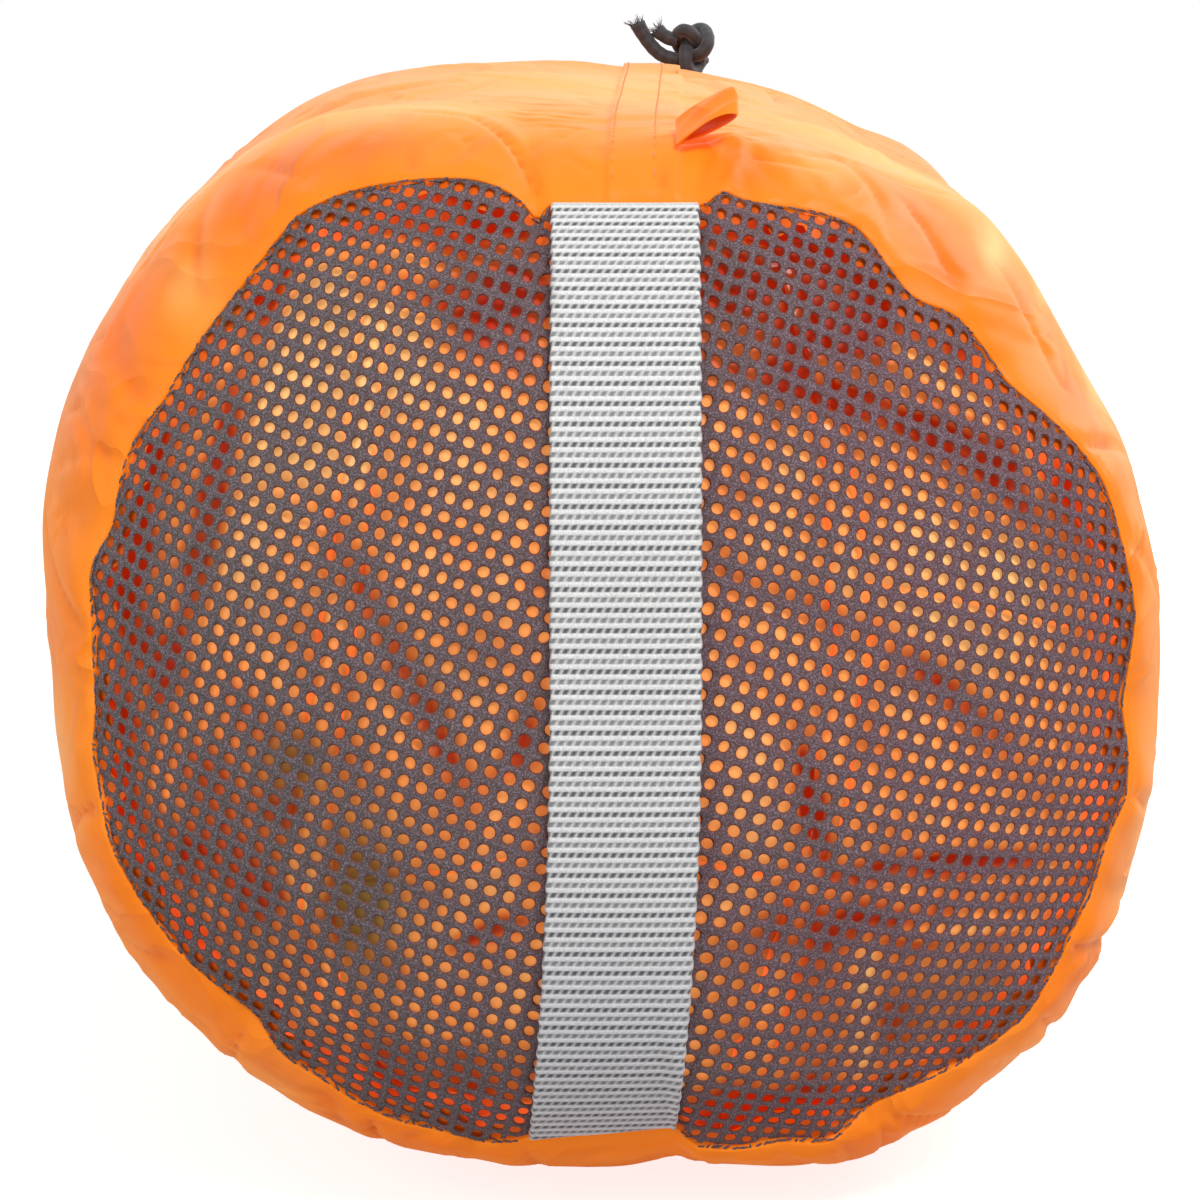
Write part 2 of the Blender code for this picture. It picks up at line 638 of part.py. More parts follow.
def smooth_route(knots, spacing):
    """Points along a Catmull-Rom curve through the route's own points, near to evenly spaced."""
    knots = [Vector(k) for k in knots]
    ends = [knots[0] * 2 - knots[1]] + knots + [knots[-1] * 2 - knots[-2]]
    fine = []
    for p0, p1, p2, p3 in zip(ends, ends[1:], ends[2:], ends[3:]):
        for step in range(24):
            t = step / 24
            fine.append(
                0.5 * (2 * p1 + (p2 - p0) * t + (2 * p0 - 5 * p1 + 4 * p2 - p3) * t**2
                       + (3 * p1 - p0 - 3 * p2 + p3) * t**3)
            )
    fine.append(knots[-1])
    reach = np.concatenate([[0.0], np.cumsum([(b - a).length for a, b in zip(fine, fine[1:])])])
    count = max(2, round(reach[-1] / spacing) + 1)
    wanted = np.linspace(0, reach[-1], count)
    fine = np.array([tuple(p) for p in fine])
    return np.stack([np.interp(wanted, reach, fine[:, axis]) for axis in range(3)], axis=-1)


def cord(name, points, diameter, finish, resolution=2):
    """A cord as a bevelled curve with filled ends."""
    curve = bpy.data.curves.new(name, "CURVE")
    curve.dimensions = "3D"
    curve.bevel_depth = diameter / 2
    curve.bevel_resolution = resolution
    curve.use_fill_caps = True
    spline = curve.splines.new("POLY")
    spline.points.add(len(points) - 1)
    for point, place_at in zip(spline.points, points):
        point.co = (*(float(c) for c in place_at), 1.0)
    curve.materials.append(finish)
    thing = bpy.data.objects.new(name, curve)
    bpy.context.scene.collection.objects.link(thing)
    return thing


def make_drawcord(finish):
    """The stretch of cord inside the tunnel."""
    half_gap = math.radians(CHANNEL_GAP / 2)
    stations = np.linspace(math.pi / 2 + half_gap, 2.5 * math.pi - half_gap, 31)
    return cord("drawcord", [ring_point(theta) for theta in stations], CORD_D, finish)


def lock_axes():
    """The cord lock's place: where its cords cross its barrel, the way up its cords, and the way out."""
    slope = math.radians(TAIL_SLOPE)
    up = Vector((0.0, -math.sin(slope), math.cos(slope)))
    out = Vector((0.0, math.cos(slope), math.sin(slope)))
    rise = LOCK_RISE - CHANNEL_RADIUS * math.cos(math.radians(CHANNEL_GAP / 2))
    middle = Vector((0.0, ring_s() - FRONT_S - HALF_LENGTH - math.tan(slope) * rise, MOUTH_Z + LOCK_RISE))
    return middle, up, out


def tail_route(side):
    """A tail's own points: out of the tunnel, up through the lock and over the rear shoulder to the knot."""
    half_gap = math.radians(CHANNEL_GAP / 2)
    angle = math.pi / 2 - side * half_gap
    tangent = Vector((-math.cos(half_gap) * side, 0.0, math.sin(half_gap)))
    start = ring_point(angle) + tangent * SLIP
    middle, up, _ = lock_axes()
    shift = Vector((side * TAIL_SPACING / 2, 0.0, 0.0))
    route = [start, start + tangent * 4 * MM]
    route.append(middle - up * (BARREL_R + 1 * MM) + shift)
    reach = LOCK_TRAVEL + BARREL_R
    for rise in (0.0, reach / 2, reach, reach + TAIL_RUN_ON):
        route.append(middle + up * rise + shift)
    wide = shift * TAIL_SPREAD
    for across, behind in TAIL_REST:
        on_wall, _ = wall_point(across + wide.x, KNOT_S + behind, CORD_D / 2 + LAP_STEP + 2.5 * GAP)
        route.append(on_wall)
    route.append(knot_place() + Vector((wide.x, KNOT_SIZE[1] / 2 + GAP, -TAIL_ENTRY)))
    return route


def knot_place():
    base, normal = wall_point(KNOT_X, KNOT_S)
    return base + normal * LAP_STEP + Vector((0.0, 0.0, KNOT_SIZE[2] / 2 + GAP))


def make_tails(finish):
    tails = []
    for name, side in (("drawcord_tail_left", -1), ("drawcord_tail_right", 1)):
        points = smooth_route(tail_route(side), 2.2 * CORD_D)
        length = np.linalg.norm(np.diff(points, axis=0), axis=1).sum()
        print(f"{name} is {length / MM:.1f} mm long")
        tails.append(cord(name, points, CORD_D, finish))
    return tails


def make_knot(finish):
    """The overhand knot in both tails: a lump that shows its wraps."""
    middle = knot_place()
    rings, sides = 9, 16
    points = [middle + Vector((0, 0, KNOT_SIZE[2] / 2))]
    for i in range(1, rings):
        fall = math.pi * i / rings
        for j in range(sides):
            turn = 2 * math.pi * j / sides
            wrap = 1 + KNOT_WRAP * math.cos(3 * turn + 2.2 * fall) * math.sin(fall)
            points.append(
                middle
                + Vector((
                    KNOT_SIZE[0] / 2 * math.sin(fall) * math.cos(turn) * wrap,
                    KNOT_SIZE[1] / 2 * math.sin(fall) * math.sin(turn) * wrap * (1 - KNOT_WRAP),
                    KNOT_SIZE[2] / 2 * math.cos(fall),
                ))
            )
    points.append(middle - Vector((0, 0, KNOT_SIZE[2] / 2)))
    faces = []
    for j in range(sides):
        k = (j + 1) % sides
        faces.append((0, 1 + j, 1 + k))
        for i in range(rings - 2):
            a, b = 1 + i * sides + j, 1 + i * sides + k
            faces.append((a, a + sides, b + sides, b))
        last = 1 + (rings - 2) * sides
        faces.append((len(points) - 1, last + k, last + j))
    return solid("drawcord_knot", points, faces, finish, 60.0)


def make_cord_ends(finish):
    """The two cut ends past the knot: the left one longer, both pointing up and to the left."""
    middle = knot_place()
    for name, direction, length, start in KNOT_ENDS:
        way = Vector(direction).normalized()
        first = middle + Vector(start)
        lift = Vector((0, 0, END_CURL))
        route = [first + way * length * share + lift * share**2 for share in (0.0, 0.33, 0.67, 1.0)]
        cord(name, route, CORD_D, finish)


def turned(name, profile, finish, segments=20):
    """A solid turned about its own z axis from (radius, height) points, closed where the radius is 0."""
    work = bmesh.new()
    line = [work.verts.new((radius, 0.0, height)) for radius, height in profile]
    edges = [work.edges.new(pair) for pair in zip(line, line[1:])]
    bmesh.ops.spin(
        work, geom=line + edges, cent=(0, 0, 0), axis=(0, 0, 1), angle=2 * math.pi, steps=segments,
        use_merge=True,
    )
    bmesh.ops.remove_doubles(work, verts=work.verts[:], dist=1e-6)
    bmesh.ops.recalc_face_normals(work, faces=work.faces[:])
    mesh = bpy.data.meshes.new(name)
    work.to_mesh(mesh)
    work.free()
    mesh.shade_smooth()
    mesh.set_sharp_from_angle(angle=math.radians(35))
    mesh.materials.append(finish)
    thing = bpy.data.objects.new(name, mesh)
    bpy.context.scene.collection.objects.link(thing)
    return thing


def slot_cutter(name, across, low, high, reach):
    """A box that cuts a slot along the cords, which run along y here."""
    corners = [(x, y, z) for x in (-across / 2, across / 2) for y in (-reach, reach) for z in (low, high)]
    faces = [(0, 1, 3, 2), (4, 6, 7, 5), (0, 4, 5, 1), (2, 3, 7, 6), (0, 2, 6, 4), (1, 5, 7, 3)]
    cutter = solid(name, corners, faces, bpy.data.materials[0])
    cutter.hide_render = True
    cutter.display_type = "WIRE"
    return cutter


def cut(thing, cutter):
    change = thing.modifiers.new("slot", "BOOLEAN")
    change.operation = "DIFFERENCE"
    change.solver = "EXACT"
    change.object = cutter


def make_cord_lock():
    """Barrel, button and spring, built about the point where the cords cross, z being the way out."""
    middle, up, out = lock_axes()
    frame = Matrix.Translation(middle) @ Matrix((
        (1, 0, 0, 0), (0, -up.y, out.y, 0), (0, -up.z, out.z, 0), (0, 0, 0, 1)
    ))
    lock = bpy.data.objects.new("cord_lock_place", None)
    lock.matrix_world = frame
    bpy.context.scene.collection.objects.link(lock)
    plastic = material("lock_plastic", PLASTIC_BLACK, 0.35)

    slot_wide = TAIL_SPACING + CORD_D + 2 * SLIP
    bore = BARREL_R - BARREL_WALL
    stem = bore - SLIP
    slot_low = -(CORD_D / 2 + SLIP)
    slot_high = CORD_D / 2 + SLIP + BUTTON_TRAVEL
    sole = slot_low - BUTTON_SOLE
    floor = sole - SPRING_LENGTH
    base = floor - FLOOR_T
    head = BARREL_TOP + BUTTON_TRAVEL + BUTTON_STOP
    chamfer = 0.8 * MM

    barrel = turned("cord_lock_barrel", [
        (0, base), (BARREL_R - chamfer, base), (BARREL_R, base + chamfer),
        (BARREL_R, BARREL_TOP - chamfer), (BARREL_R - chamfer, BARREL_TOP),
        (bore, BARREL_TOP), (bore, floor), (0, floor),
    ], plastic)
    barrel_slot = slot_cutter("barrel_slot", slot_wide, slot_low, CORD_D / 2 + SLIP, 2 * BARREL_R)
    cut(barrel, barrel_slot)

    button = turned("cord_lock_button", [
        (0, sole), (stem - 0.4 * MM, sole), (stem, sole + 0.4 * MM), (stem, head),
        (BUTTON_HEAD_R, head), (BUTTON_HEAD_R, head + BUTTON_HEAD_T - chamfer),
        (BUTTON_HEAD_R - chamfer, head + BUTTON_HEAD_T), (0, head + BUTTON_HEAD_T + 0.5 * MM),
    ], plastic)
    button_slot = slot_cutter("button_slot", slot_wide, slot_low, slot_high, 2 * BARREL_R)
    cut(button, button_slot)

    low = floor + SPRING_WIRE / 2 + SLIP
    high = sole - SPRING_WIRE / 2 - SLIP
    coil = []
    for step in range(int(SPRING_TURNS * 10) + 1):
        turn = 2 * math.pi * step / 10
        height = low + (high - low) * step / (SPRING_TURNS * 10)
        coil.append((SPRING_R * math.cos(turn), SPRING_R * math.sin(turn), height))
    spring = cord("cord_lock_spring", coil, SPRING_WIRE, material("spring_steel", STEEL, 0.3, 1.0), 1)
    for thing in (barrel, button, spring, barrel_slot, button_slot):
        thing.parent = lock
    return barrel, button, spring


def pack_point(u, v, row):
    """A place in the packed shelter: (u, v) on a square is rounded into the sack's section at that row."""
    s_edge, crown = PACK_ROWS[row]
    across = u * np.sqrt(1 - v**2 / 2)
    height = v * np.sqrt(1 - u**2 / 2)
    share = np.hypot(across, height)
    theta = np.arctan2(height, across)
    s = np.full_like(share, s_edge)
    last = row == len(PACK_ROWS) - 1
    pleats = 1.5 * PLEAT_HEIGHT * ease((s - PLEAT_START_S) / PLEAT_MARGIN + 1)
    nearby = [theta + math.radians(turn) for turn in (-PACK_REACH, 0.0, PACK_REACH)]
    if s_edge <= LIP_END_S:
        radius = share * (np.minimum.reduce([seam_radius(angle) for angle in nearby]) - TUCK_ROOM)
    else:
        wall = np.minimum.reduce([sack_radius(angle, s) for angle in nearby])
        room = WALL_T + PACK_GAP + pleats
        radius = share * (wall - room)
        if last:
            s = np.minimum(wall_s(theta, radius + room) - PACK_REAR_GAP, PACK_END_S)
    points = place(radius, theta, s, WALL_T + PACK_GAP)
    if row == 0:
        x, q = points[..., 0], points[..., 2] - AXIS_Z
        steep = -1 / dome_normal(x, q)[..., 1]
        points[..., 1] = dome(x, q)[..., 1] + (NET_T + PACK_GAP) * steep
    elif not last:
        points[..., 1] += crown * (1 - share**DOME_POWER)
    return points


def crease(number, v, row):
    """The wavy dividing line between two upright stacks of folds, as a place across the sack."""
    base, swing, waves_up, lag = (
        (-0.60, 0.08, 2.2, 0.7),
        (-0.08, 0.06, 2.8, 1.9),
        (0.42, 0.07, 2.4, 0.2),
    )[number]
    wander = 0.03 * math.sin(0.9 * row + number)
    return base + swing * np.sin(waves_up * v + lag) + wander


def shelf(number, u, row):
    """The dividing line across a stack, as a height in the sack."""
    base, slope = ((-0.30, 0.25), (-0.33, -0.15), (0.38, -0.30))[number]
    return base + slope * u + 0.03 * math.sin(0.8 * row)


def side_line(function, number, offset=0.0):
    """A fold's inner side along a crease or a shelf, as a function of the other direction and the row."""
    def side(other, row):
        return function(number, other, row) + offset
    side.inset = 0.6 * FOLD_GAP / BODY_RADIUS
    return side


def pack_edge(value):
    """A fold's outer side, at the edge of the pack."""
    def side(other, row):
        return np.full_like(other, value)
    side.inset = 0.0
    return side


def fold(name, left, right, bottom, top, finish, shelves=None):
    """One folded panel: a box whose sides follow the creases beside it, puffed at its front.

    A panel of full height is divided at its neighbours' shelves, so that both follow a crease alike.
    """
    share = np.linspace(0, 1, FOLD_CELLS + 1)
    rise = share if shelves is None else np.concatenate([share / 2, 0.5 + share[1:] / 2])
    a, b = np.meshgrid(share, rise)
    layers = []
    for row in range(len(PACK_ROWS)):
        u, v = a * 2 - 1, b * 2 - 1
        for _ in range(12):
            low = bottom(u, row) + bottom.inset
            high = top(u, row) - top.inset
            if shelves is None:
                v = low + (high - low) * b
            else:
                middle = shelf(shelves[0], u, row) * (1 - a) + shelf(shelves[1], u, row) * a
                v = np.where(b < 0.5, low + (middle - low) * 2 * b, middle + (high - middle) * (2 * b - 1))
            near = left(v, row) + left.inset
            far = right(v, row) - right.inset
            u = near + (far - near) * a
        points = pack_point(u, v, row)
        if row == 0:
            brow = np.maximum(np.abs(2 * a - 1), np.abs(2 * b - 1)) ** 4
            points[..., 1] += FOLD_ROUNDING * brow
        layers.append(points)
    grid = np.array(layers)
    number = np.arange(grid[..., 0].size).reshape(grid.shape[:3])
    sheets = (
        number[0], number[-1][::-1],
        number[:, 0][::-1], number[:, -1],
        number[:, :, 0], number[:, :, -1][::-1],
    )
    quads = []
    for sheet in sheets:
        corners = (sheet[:-1, :-1], sheet[:-1, 1:], sheet[1:, 1:], sheet[1:, :-1])
        quads.append(np.stack(corners, axis=-1).reshape(-1, 4))
    used, faces = np.unique(np.concatenate(quads), return_inverse=True)
    return solid(name, grid.reshape(-1, 3)[used], faces.reshape(-1, 4), finish, 60.0)


def make_shelter():
    """The shelter's panels, windows and vent, folded side by side along the sack."""
    canopy = material("canopy_nylon", ORANGE, 0.5)
    seat = material("seat_fabric", OLIVE, 0.7)
    film = material("window_film", CLEAR, 0.15)
    half = WINDOW_SHARE / 2
    left_side, right_side, floor_side, roof = (pack_edge(value) for value in (-1.0, 1.0, -1.0, 1.0))
    before_left, after_left = side_line(crease, 0, -half), side_line(crease, 0, half)
    before_right, after_right = side_line(crease, 2, -half), side_line(crease, 2, half)
    middle = side_line(crease, 1)
    shelf_left, shelf_right, shelf_far = (side_line(shelf, number) for number in range(3))
    fold("canopy_left_panel", left_side, before_left, floor_side, roof, canopy, (0, 0))
    fold("window_left", before_left, after_left, floor_side, roof, film, (0, 0))
    fold("canopy_end_panel", after_left, middle, shelf_left, roof, canopy)
    fold("seat_panel_left", after_left, middle, floor_side, shelf_left, seat)
    fold("canopy_right_panel", middle, before_right, shelf_right, roof, canopy)
    fold("seat_panel_right", middle, before_right, floor_side, shelf_right, seat)
    fold("window_right", before_right, after_right, floor_side, roof, film, (1, 2))
    fold("canopy_roof_panel", after_right, right_side, floor_side, shelf_far, canopy)
    fold("vent_sleeve", after_right, right_side, shelf_far, roof, canopy)


def stand_on_origin(reach):
    """Moves everything so that the origin is the bottom centre of the box round these pieces."""
    bpy.context.view_layer.update()
    corners = np.array([thing.matrix_world @ Vector(corner) for thing in reach for corner in thing.bound_box])
    low, high = corners.min(axis=0), corners.max(axis=0)
    shift = Vector((-(low[0] + high[0]) / 2, -(low[1] + high[1]) / 2, -low[2]))
    for thing in bpy.data.objects:
        if thing.parent is None:
            thing.location = thing.location + shift
    return shift


def main():
    for thing in list(bpy.data.objects):
        bpy.data.objects.remove(thing, do_unlink=True)
    wall = make_sack_wall()
    make_mesh_end()
    handle = make_webbing_handle()
    make_hang_loop()
    channel = make_cord_channel()
    cord_finish = material("black_cord", CORD_BLACK, 0.7)
    make_drawcord(cord_finish)
    make_tails(cord_finish)
    make_knot(cord_finish)
    make_cord_ends(cord_finish)
    make_cord_lock()
    make_shelter()
    shift = stand_on_origin((wall, handle, channel))
    hinge, along = loop_frame()
    lock, up, out = lock_axes()
    print("loop hinge", [round(c, 6) for c in hinge + shift], "axis", [round(c, 6) for c in along])
    print("cord lock", [round(c, 6) for c in lock + shift])
    print("cord lock up", [round(c, 6) for c in up], "out", [round(c, 6) for c in out])


main()
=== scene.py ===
# %% [markdown]
# # A packed group shelter in its stuff sack
#
# The object is a coated nylon sack that lies on its side. Its round end is a domed knitted mesh with a
# grey webbing handle across it, and the folded orange shelter inside shows through the mesh. This lesson
# builds every visible cloth as a surface worked out with numpy: a shape is a function of two parameters on
# a grid, computed for all points at once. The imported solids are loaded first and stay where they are, so
# each cloth is laid over the solid that it stands for.

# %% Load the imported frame
import math

import bpy
import numpy as np
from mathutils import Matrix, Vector


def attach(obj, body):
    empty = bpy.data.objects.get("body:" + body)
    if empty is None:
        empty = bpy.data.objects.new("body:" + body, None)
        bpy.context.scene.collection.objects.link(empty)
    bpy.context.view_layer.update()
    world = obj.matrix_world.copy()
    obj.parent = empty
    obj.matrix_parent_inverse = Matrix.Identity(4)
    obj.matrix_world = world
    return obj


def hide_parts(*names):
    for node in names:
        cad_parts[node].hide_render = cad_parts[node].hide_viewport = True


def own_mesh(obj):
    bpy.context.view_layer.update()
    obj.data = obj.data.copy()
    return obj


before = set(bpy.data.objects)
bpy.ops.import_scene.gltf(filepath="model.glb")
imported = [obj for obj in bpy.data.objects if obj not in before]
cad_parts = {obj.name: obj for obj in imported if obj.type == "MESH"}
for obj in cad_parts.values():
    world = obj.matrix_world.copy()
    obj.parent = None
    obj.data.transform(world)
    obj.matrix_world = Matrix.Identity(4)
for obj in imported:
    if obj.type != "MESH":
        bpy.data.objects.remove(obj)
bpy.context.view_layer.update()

# %% [markdown]
# ## Helpers
#
# Cloth, webbing and cord all become meshes in the same way: a grid of points with rows and columns, and
# quads between neighbours. Putting the index arithmetic into one function keeps every later cell short.
# Values that a material needs at each point, such as how deep a groove is, are stored as attributes.

# %% Grid helpers
MM = 0.001


def ease(x):
    """0 below 0, 1 above 1, and the smooth step 3x^2 - 2x^3 between."""
    x = np.clip(x, 0, 1)
    return x * x * (3 - 2 * x)


def bell(x):
    """A bell curve: e to the power of minus x squared."""
    return np.exp(-np.square(x))


def unit(v):
    """Vectors divided by their lengths."""
    return v / np.maximum(np.linalg.norm(v, axis=-1, keepdims=True), 1e-12)


def reach_along(line):
    """The way along a line from its first point to each of its points."""
    return np.concatenate([[0], np.cumsum(np.linalg.norm(np.diff(line, axis=0), axis=1))])


def round_ring(count):
    """Every index round a ring of points, and the index that comes after it."""
    j = np.arange(count)
    return j, (j + 1) % count


def grid_faces(rows, columns, closed=False, start=0, flip=False):
    """Quads between neighbours of a grid stored row by row; closed joins the last column to the first."""
    i = np.arange(rows - 1)[:, None]
    j = np.arange(columns if closed else columns - 1)[None]
    k = (j + 1) % columns
    quads = np.stack([i * columns + j, i * columns + k, (i + 1) * columns + k, (i + 1) * columns + j], -1)
    quads = quads.reshape(-1, 4) + start
    return quads[:, ::-1] if flip else quads


def torus_faces(rows, columns, flip=False):
    """Quads of a grid whose last row and last column both join the first ones."""
    i, j = np.arange(rows)[:, None], np.arange(columns)[None]
    a, b = i * columns, (i + 1) % rows * columns
    k = (j + 1) % columns
    corners = (a + j, b + j, b + k, a + k) if flip else (a + j, a + k, b + k, b + j)
    return np.stack(corners, -1).reshape(-1, 4)


def grid_normals(points):
    """Unit normals of a grid that closes round its rows: the slope along it times the slope round it."""
    down = np.gradient(points, axis=0)
    across = np.roll(points, -1, axis=1) - np.roll(points, 1, axis=1)
    return unit(np.cross(down, across))


def turned(angle, side, up):
    """cos(angle) times one direction plus sin(angle) times another, for all angles and directions."""
    return np.cos(angle)[..., None] * side + np.sin(angle)[..., None] * up


def add_piece(name, points, faces, finish, body, stands_for=(), values=None):
    """A smooth shaded piece that rides on a body and stands for its CAD nodes."""
    points = np.asarray(points, float).reshape(-1, 3)
    mesh = bpy.data.meshes.new(name)
    mesh.from_pydata(points, [], faces.tolist() if isinstance(faces, np.ndarray) else faces)
    mesh.shade_smooth()
    mesh.materials.append(finish)
    for label, numbers in (values or {}).items():
        layer = mesh.attributes.new(label, "FLOAT", "POINT")
        layer.data.foreach_set("value", np.asarray(numbers, np.float32).ravel())
    piece = bpy.data.objects.new(name, mesh)
    bpy.context.scene.collection.objects.link(piece)
    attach(piece, body)
    if stands_for:
        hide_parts(*stands_for)
    low, high = points.min(axis=0) / MM, points.max(axis=0) / MM
    print(f"{name}: {len(points)} points, {len(faces)} faces, from {low.round(1)} to {high.round(1)} mm")
    return piece


# %% [markdown]
# ## The camera
#
# The photograph looks at the mesh end from slightly above. The apex of the dome is near the middle of the
# frame, and the wall behind the dome is only a little larger than its rim, which gives the distance: about
# seven tenths of a metre, with a long lens.

# %% Camera
PHOTO_PIXELS = 1200
CAMERA_PLACE = np.array([-0.0008, -0.8465, 0.2352])
CAMERA_PITCH = math.radians(10.1)
LENS = 127.7
SENSOR = 36.0

camera_data = bpy.data.cameras.new("photo_camera")
camera_data.lens = LENS
camera_data.sensor_width = SENSOR
camera = bpy.data.objects.new("photo_camera", camera_data)
camera.location = CAMERA_PLACE
camera.rotation_euler = (math.pi / 2 - CAMERA_PITCH, 0, 0)
bpy.context.scene.collection.objects.link(camera)
bpy.context.scene.camera = camera
bpy.context.scene.view_settings.view_transform = "Standard"
print("camera at", CAMERA_PLACE, "lens", LENS)

# %% [markdown]
# ## Shader node helpers
#
# A material is a small graph. One helper makes a node and sets or links its inputs, others stand for the
# nodes that most finishes use, and effects that several finishes share are node groups, built once. Each
# group only puts out numbers that change over the surface. The shader itself stays in the material.

# %% Node helpers
def node(tree, kind, inputs=None, **settings):
    """A node of a kind, with its properties set and its inputs given as values or as sockets to link."""
    made = tree.nodes.new(kind)
    for key, value in settings.items():
        setattr(made, key, value)
    for key, value in (inputs or {}).items():
        if isinstance(value, bpy.types.NodeSocket):
            tree.links.new(value, made.inputs[key])
        else:
            made.inputs[key].default_value = value
    return made


def math_node(tree, operation, a, b=0.0, clamp=False):
    """The sum, product or other operation of two numbers or sockets."""
    return node(tree, "ShaderNodeMath", {0: a, 1: b}, operation=operation, use_clamp=clamp).outputs[0]


def mix_color(tree, factor, a, b):
    """Colour a where the factor is 0 and b where it is 1; a colour is a socket or (red, green, blue)."""
    a, b = (color if isinstance(color, bpy.types.NodeSocket) else (*color, 1.0) for color in (a, b))
    return node(tree, "ShaderNodeMix", {0: factor, 6: a, 7: b}, data_type="RGBA").outputs[2]


def remap(tree, value, low, high, to_low=0.0, to_high=1.0):
    """A value carried from one range to another, and held inside it."""
    settings = {"Value": value, "From Min": low, "From Max": high, "To Min": to_low, "To Max": to_high}
    return node(tree, "ShaderNodeMapRange", settings).outputs[0]


def object_place(tree):
    """Places in the piece's own coordinates, in metres."""
    return node(tree, "ShaderNodeTexCoord").outputs["Object"]


def object_axis(tree, axis):
    """One coordinate of those places."""
    return node(tree, "ShaderNodeSeparateXYZ", {0: object_place(tree)}).outputs[axis]


def stored(tree, label):
    """The value that a piece stores at each of its points under a name."""
    return node(tree, "ShaderNodeAttribute", attribute_name=label).outputs["Fac"]


def bump(tree, height, strength, distance, **below):
    """A normal bent by the slope of a height; below may name the Normal that it starts from."""
    settings = {"Height": height, "Strength": strength, "Distance": distance, **below}
    return node(tree, "ShaderNodeBump", settings).outputs[0]


def feed(shader, **sockets):
    """Links sockets to the shader's inputs, named with _ for a space."""
    for label, socket in sockets.items():
        shader.id_data.links.new(socket, shader.inputs[label.replace("_", " ")])


def new_group(name, inputs, outputs):
    """An empty node group with float inputs (name, default) and float outputs."""
    group = bpy.data.node_groups.new(name, "ShaderNodeTree")
    for label, default in inputs:
        socket = group.interface.new_socket(label, in_out="INPUT", socket_type="NodeSocketFloat")
        socket.default_value = default
    for label in outputs:
        group.interface.new_socket(label, in_out="OUTPUT", socket_type="NodeSocketFloat")
    return group, group.nodes.new("NodeGroupInput"), group.nodes.new("NodeGroupOutput")


def use_group(tree, group, inputs=None):
    """The outputs of a node group, with its inputs set."""
    return node(tree, "ShaderNodeGroup", inputs, node_tree=group).outputs


def new_material(name, color, roughness, **shader_inputs):
    """A Principled material, its tree and its shader, with inputs named with _ for a space."""
    made = bpy.data.materials.new(name)
    made.use_nodes = True
    shader = made.node_tree.nodes["Principled BSDF"]
    shader.inputs["Base Color"].default_value = (*color, 1.0)
    shader.inputs["Roughness"].default_value = roughness
    for key, value in shader_inputs.items():
        shader.inputs[key.replace("_", " ")].default_value = value
    made.diffuse_color = (*color, 1.0)
    return made, made.node_tree, shader


# %% [markdown]
# ## Shared effects: woven yarns, mottling and crumpling
#
# Nylon cloth is a fine plain weave under its coating. Two sine waves at right angles give the little
# hills of the yarns; their product is high where a yarn crosses on top. Mottling is two noises of
# different size, which keeps large areas from looking painted. A noise folded over at its middle has
# sharp ridges there, as crumpled cloth has.

# %% Node groups
def weave_group():
    """Height of a plain weave: the sine of x + y times the sine of z + y, in yarns per metre."""
    group, source, sink = new_group("fine_weave", [("Yarns per metre", 3000.0)], ["Height"])
    parts = node(group, "ShaderNodeSeparateXYZ", {0: object_place(group)})
    rate = math_node(group, "MULTIPLY", source.outputs[0], math.pi)
    waves = []
    for axis in "XZ":
        way = math_node(group, "ADD", parts.outputs[axis], parts.outputs["Y"])
        waves.append(math_node(group, "SINE", math_node(group, "MULTIPLY", way, rate)))
    group.links.new(math_node(group, "MULTIPLY", *waves), sink.inputs["Height"])
    return group


def mottle_group():
    """Two noises, one large and one fine, as numbers round a half."""
    group, source, sink = new_group("mottle", [("Large", 22.0), ("Fine", 420.0)], ["Large", "Fine"])
    place = object_place(group)
    for label, detail in (("Large", 3.0), ("Fine", 2.0)):
        noise = node(group, "ShaderNodeTexNoise",
                     {"Vector": place, "Scale": source.outputs[label], "Detail": detail})
        group.links.new(noise.outputs["Fac"], sink.inputs[label])
    return group


def crumple_group():
    """Height of crumpled cloth: 1 - 2 |noise - 1/2| of a bent noise, whose ridges are the sharp folds."""
    group, source, sink = new_group("crumple", [("Scale", 34.0)], ["Height"])
    long_way = node(group, "ShaderNodeMapping", {"Vector": object_place(group), "Scale": (1.0, 0.55, 1.0)})
    noise = node(group, "ShaderNodeTexNoise",
                 {"Vector": long_way.outputs[0], "Scale": source.outputs[0], "Detail": 2.0,
                  "Distortion": 0.8})
    away = math_node(group, "ABSOLUTE", math_node(group, "SUBTRACT", noise.outputs["Fac"], 0.5))
    height = math_node(group, "SUBTRACT", 1.0, math_node(group, "MULTIPLY", away, 2.0))
    group.links.new(height, sink.inputs[0])
    return group


WEAVE = weave_group()
MOTTLE = mottle_group()
CRUMPLE = crumple_group()
print("node groups:", [group.name for group in bpy.data.node_groups])

# %% [markdown]
# ## Finishes
#
# The sack and the shelter are orange coated nylon, satin, with painted light over the top and a painted
# highlight edge-on.
# The mesh is a grey-purple knit with light and dark flecks. The webbing is white with painted shade in its
# grooves.
# Attributes that the shapes store colour the right places: crease (painted crease shade), pale (painted light
# and shade on the sack), groove (painted shade in the webbing's grooves and painted orange bounce light
# beside the mesh holes), strand (painted shade in the braid's gaps), the shelter's painted light level, and
# dull.

# %% Nylon, knit, webbing, cord and plastic
# Colours of the painted light, the painted edge highlight, the painted glow and its painted crease shade
PAINTED_LIGHT_ORANGE, PAINTED_EDGE_HIGHLIGHT = (1.0, 0.60, 0.20), (1.0, 0.62, 0.22)
PAINTED_GLOW_ORANGE, CREASE_SHADED_GLOW = (1.0, 0.15, 0.0), (0.10, 0.0, 0.0)
CREASE_SHADE = (0.84, 0.42, 0.4)


def mottled(tree, large, fine):
    """The large and the fine noise, in noises per metre."""
    return use_group(tree, MOTTLE, {"Large": large, "Fine": fine})


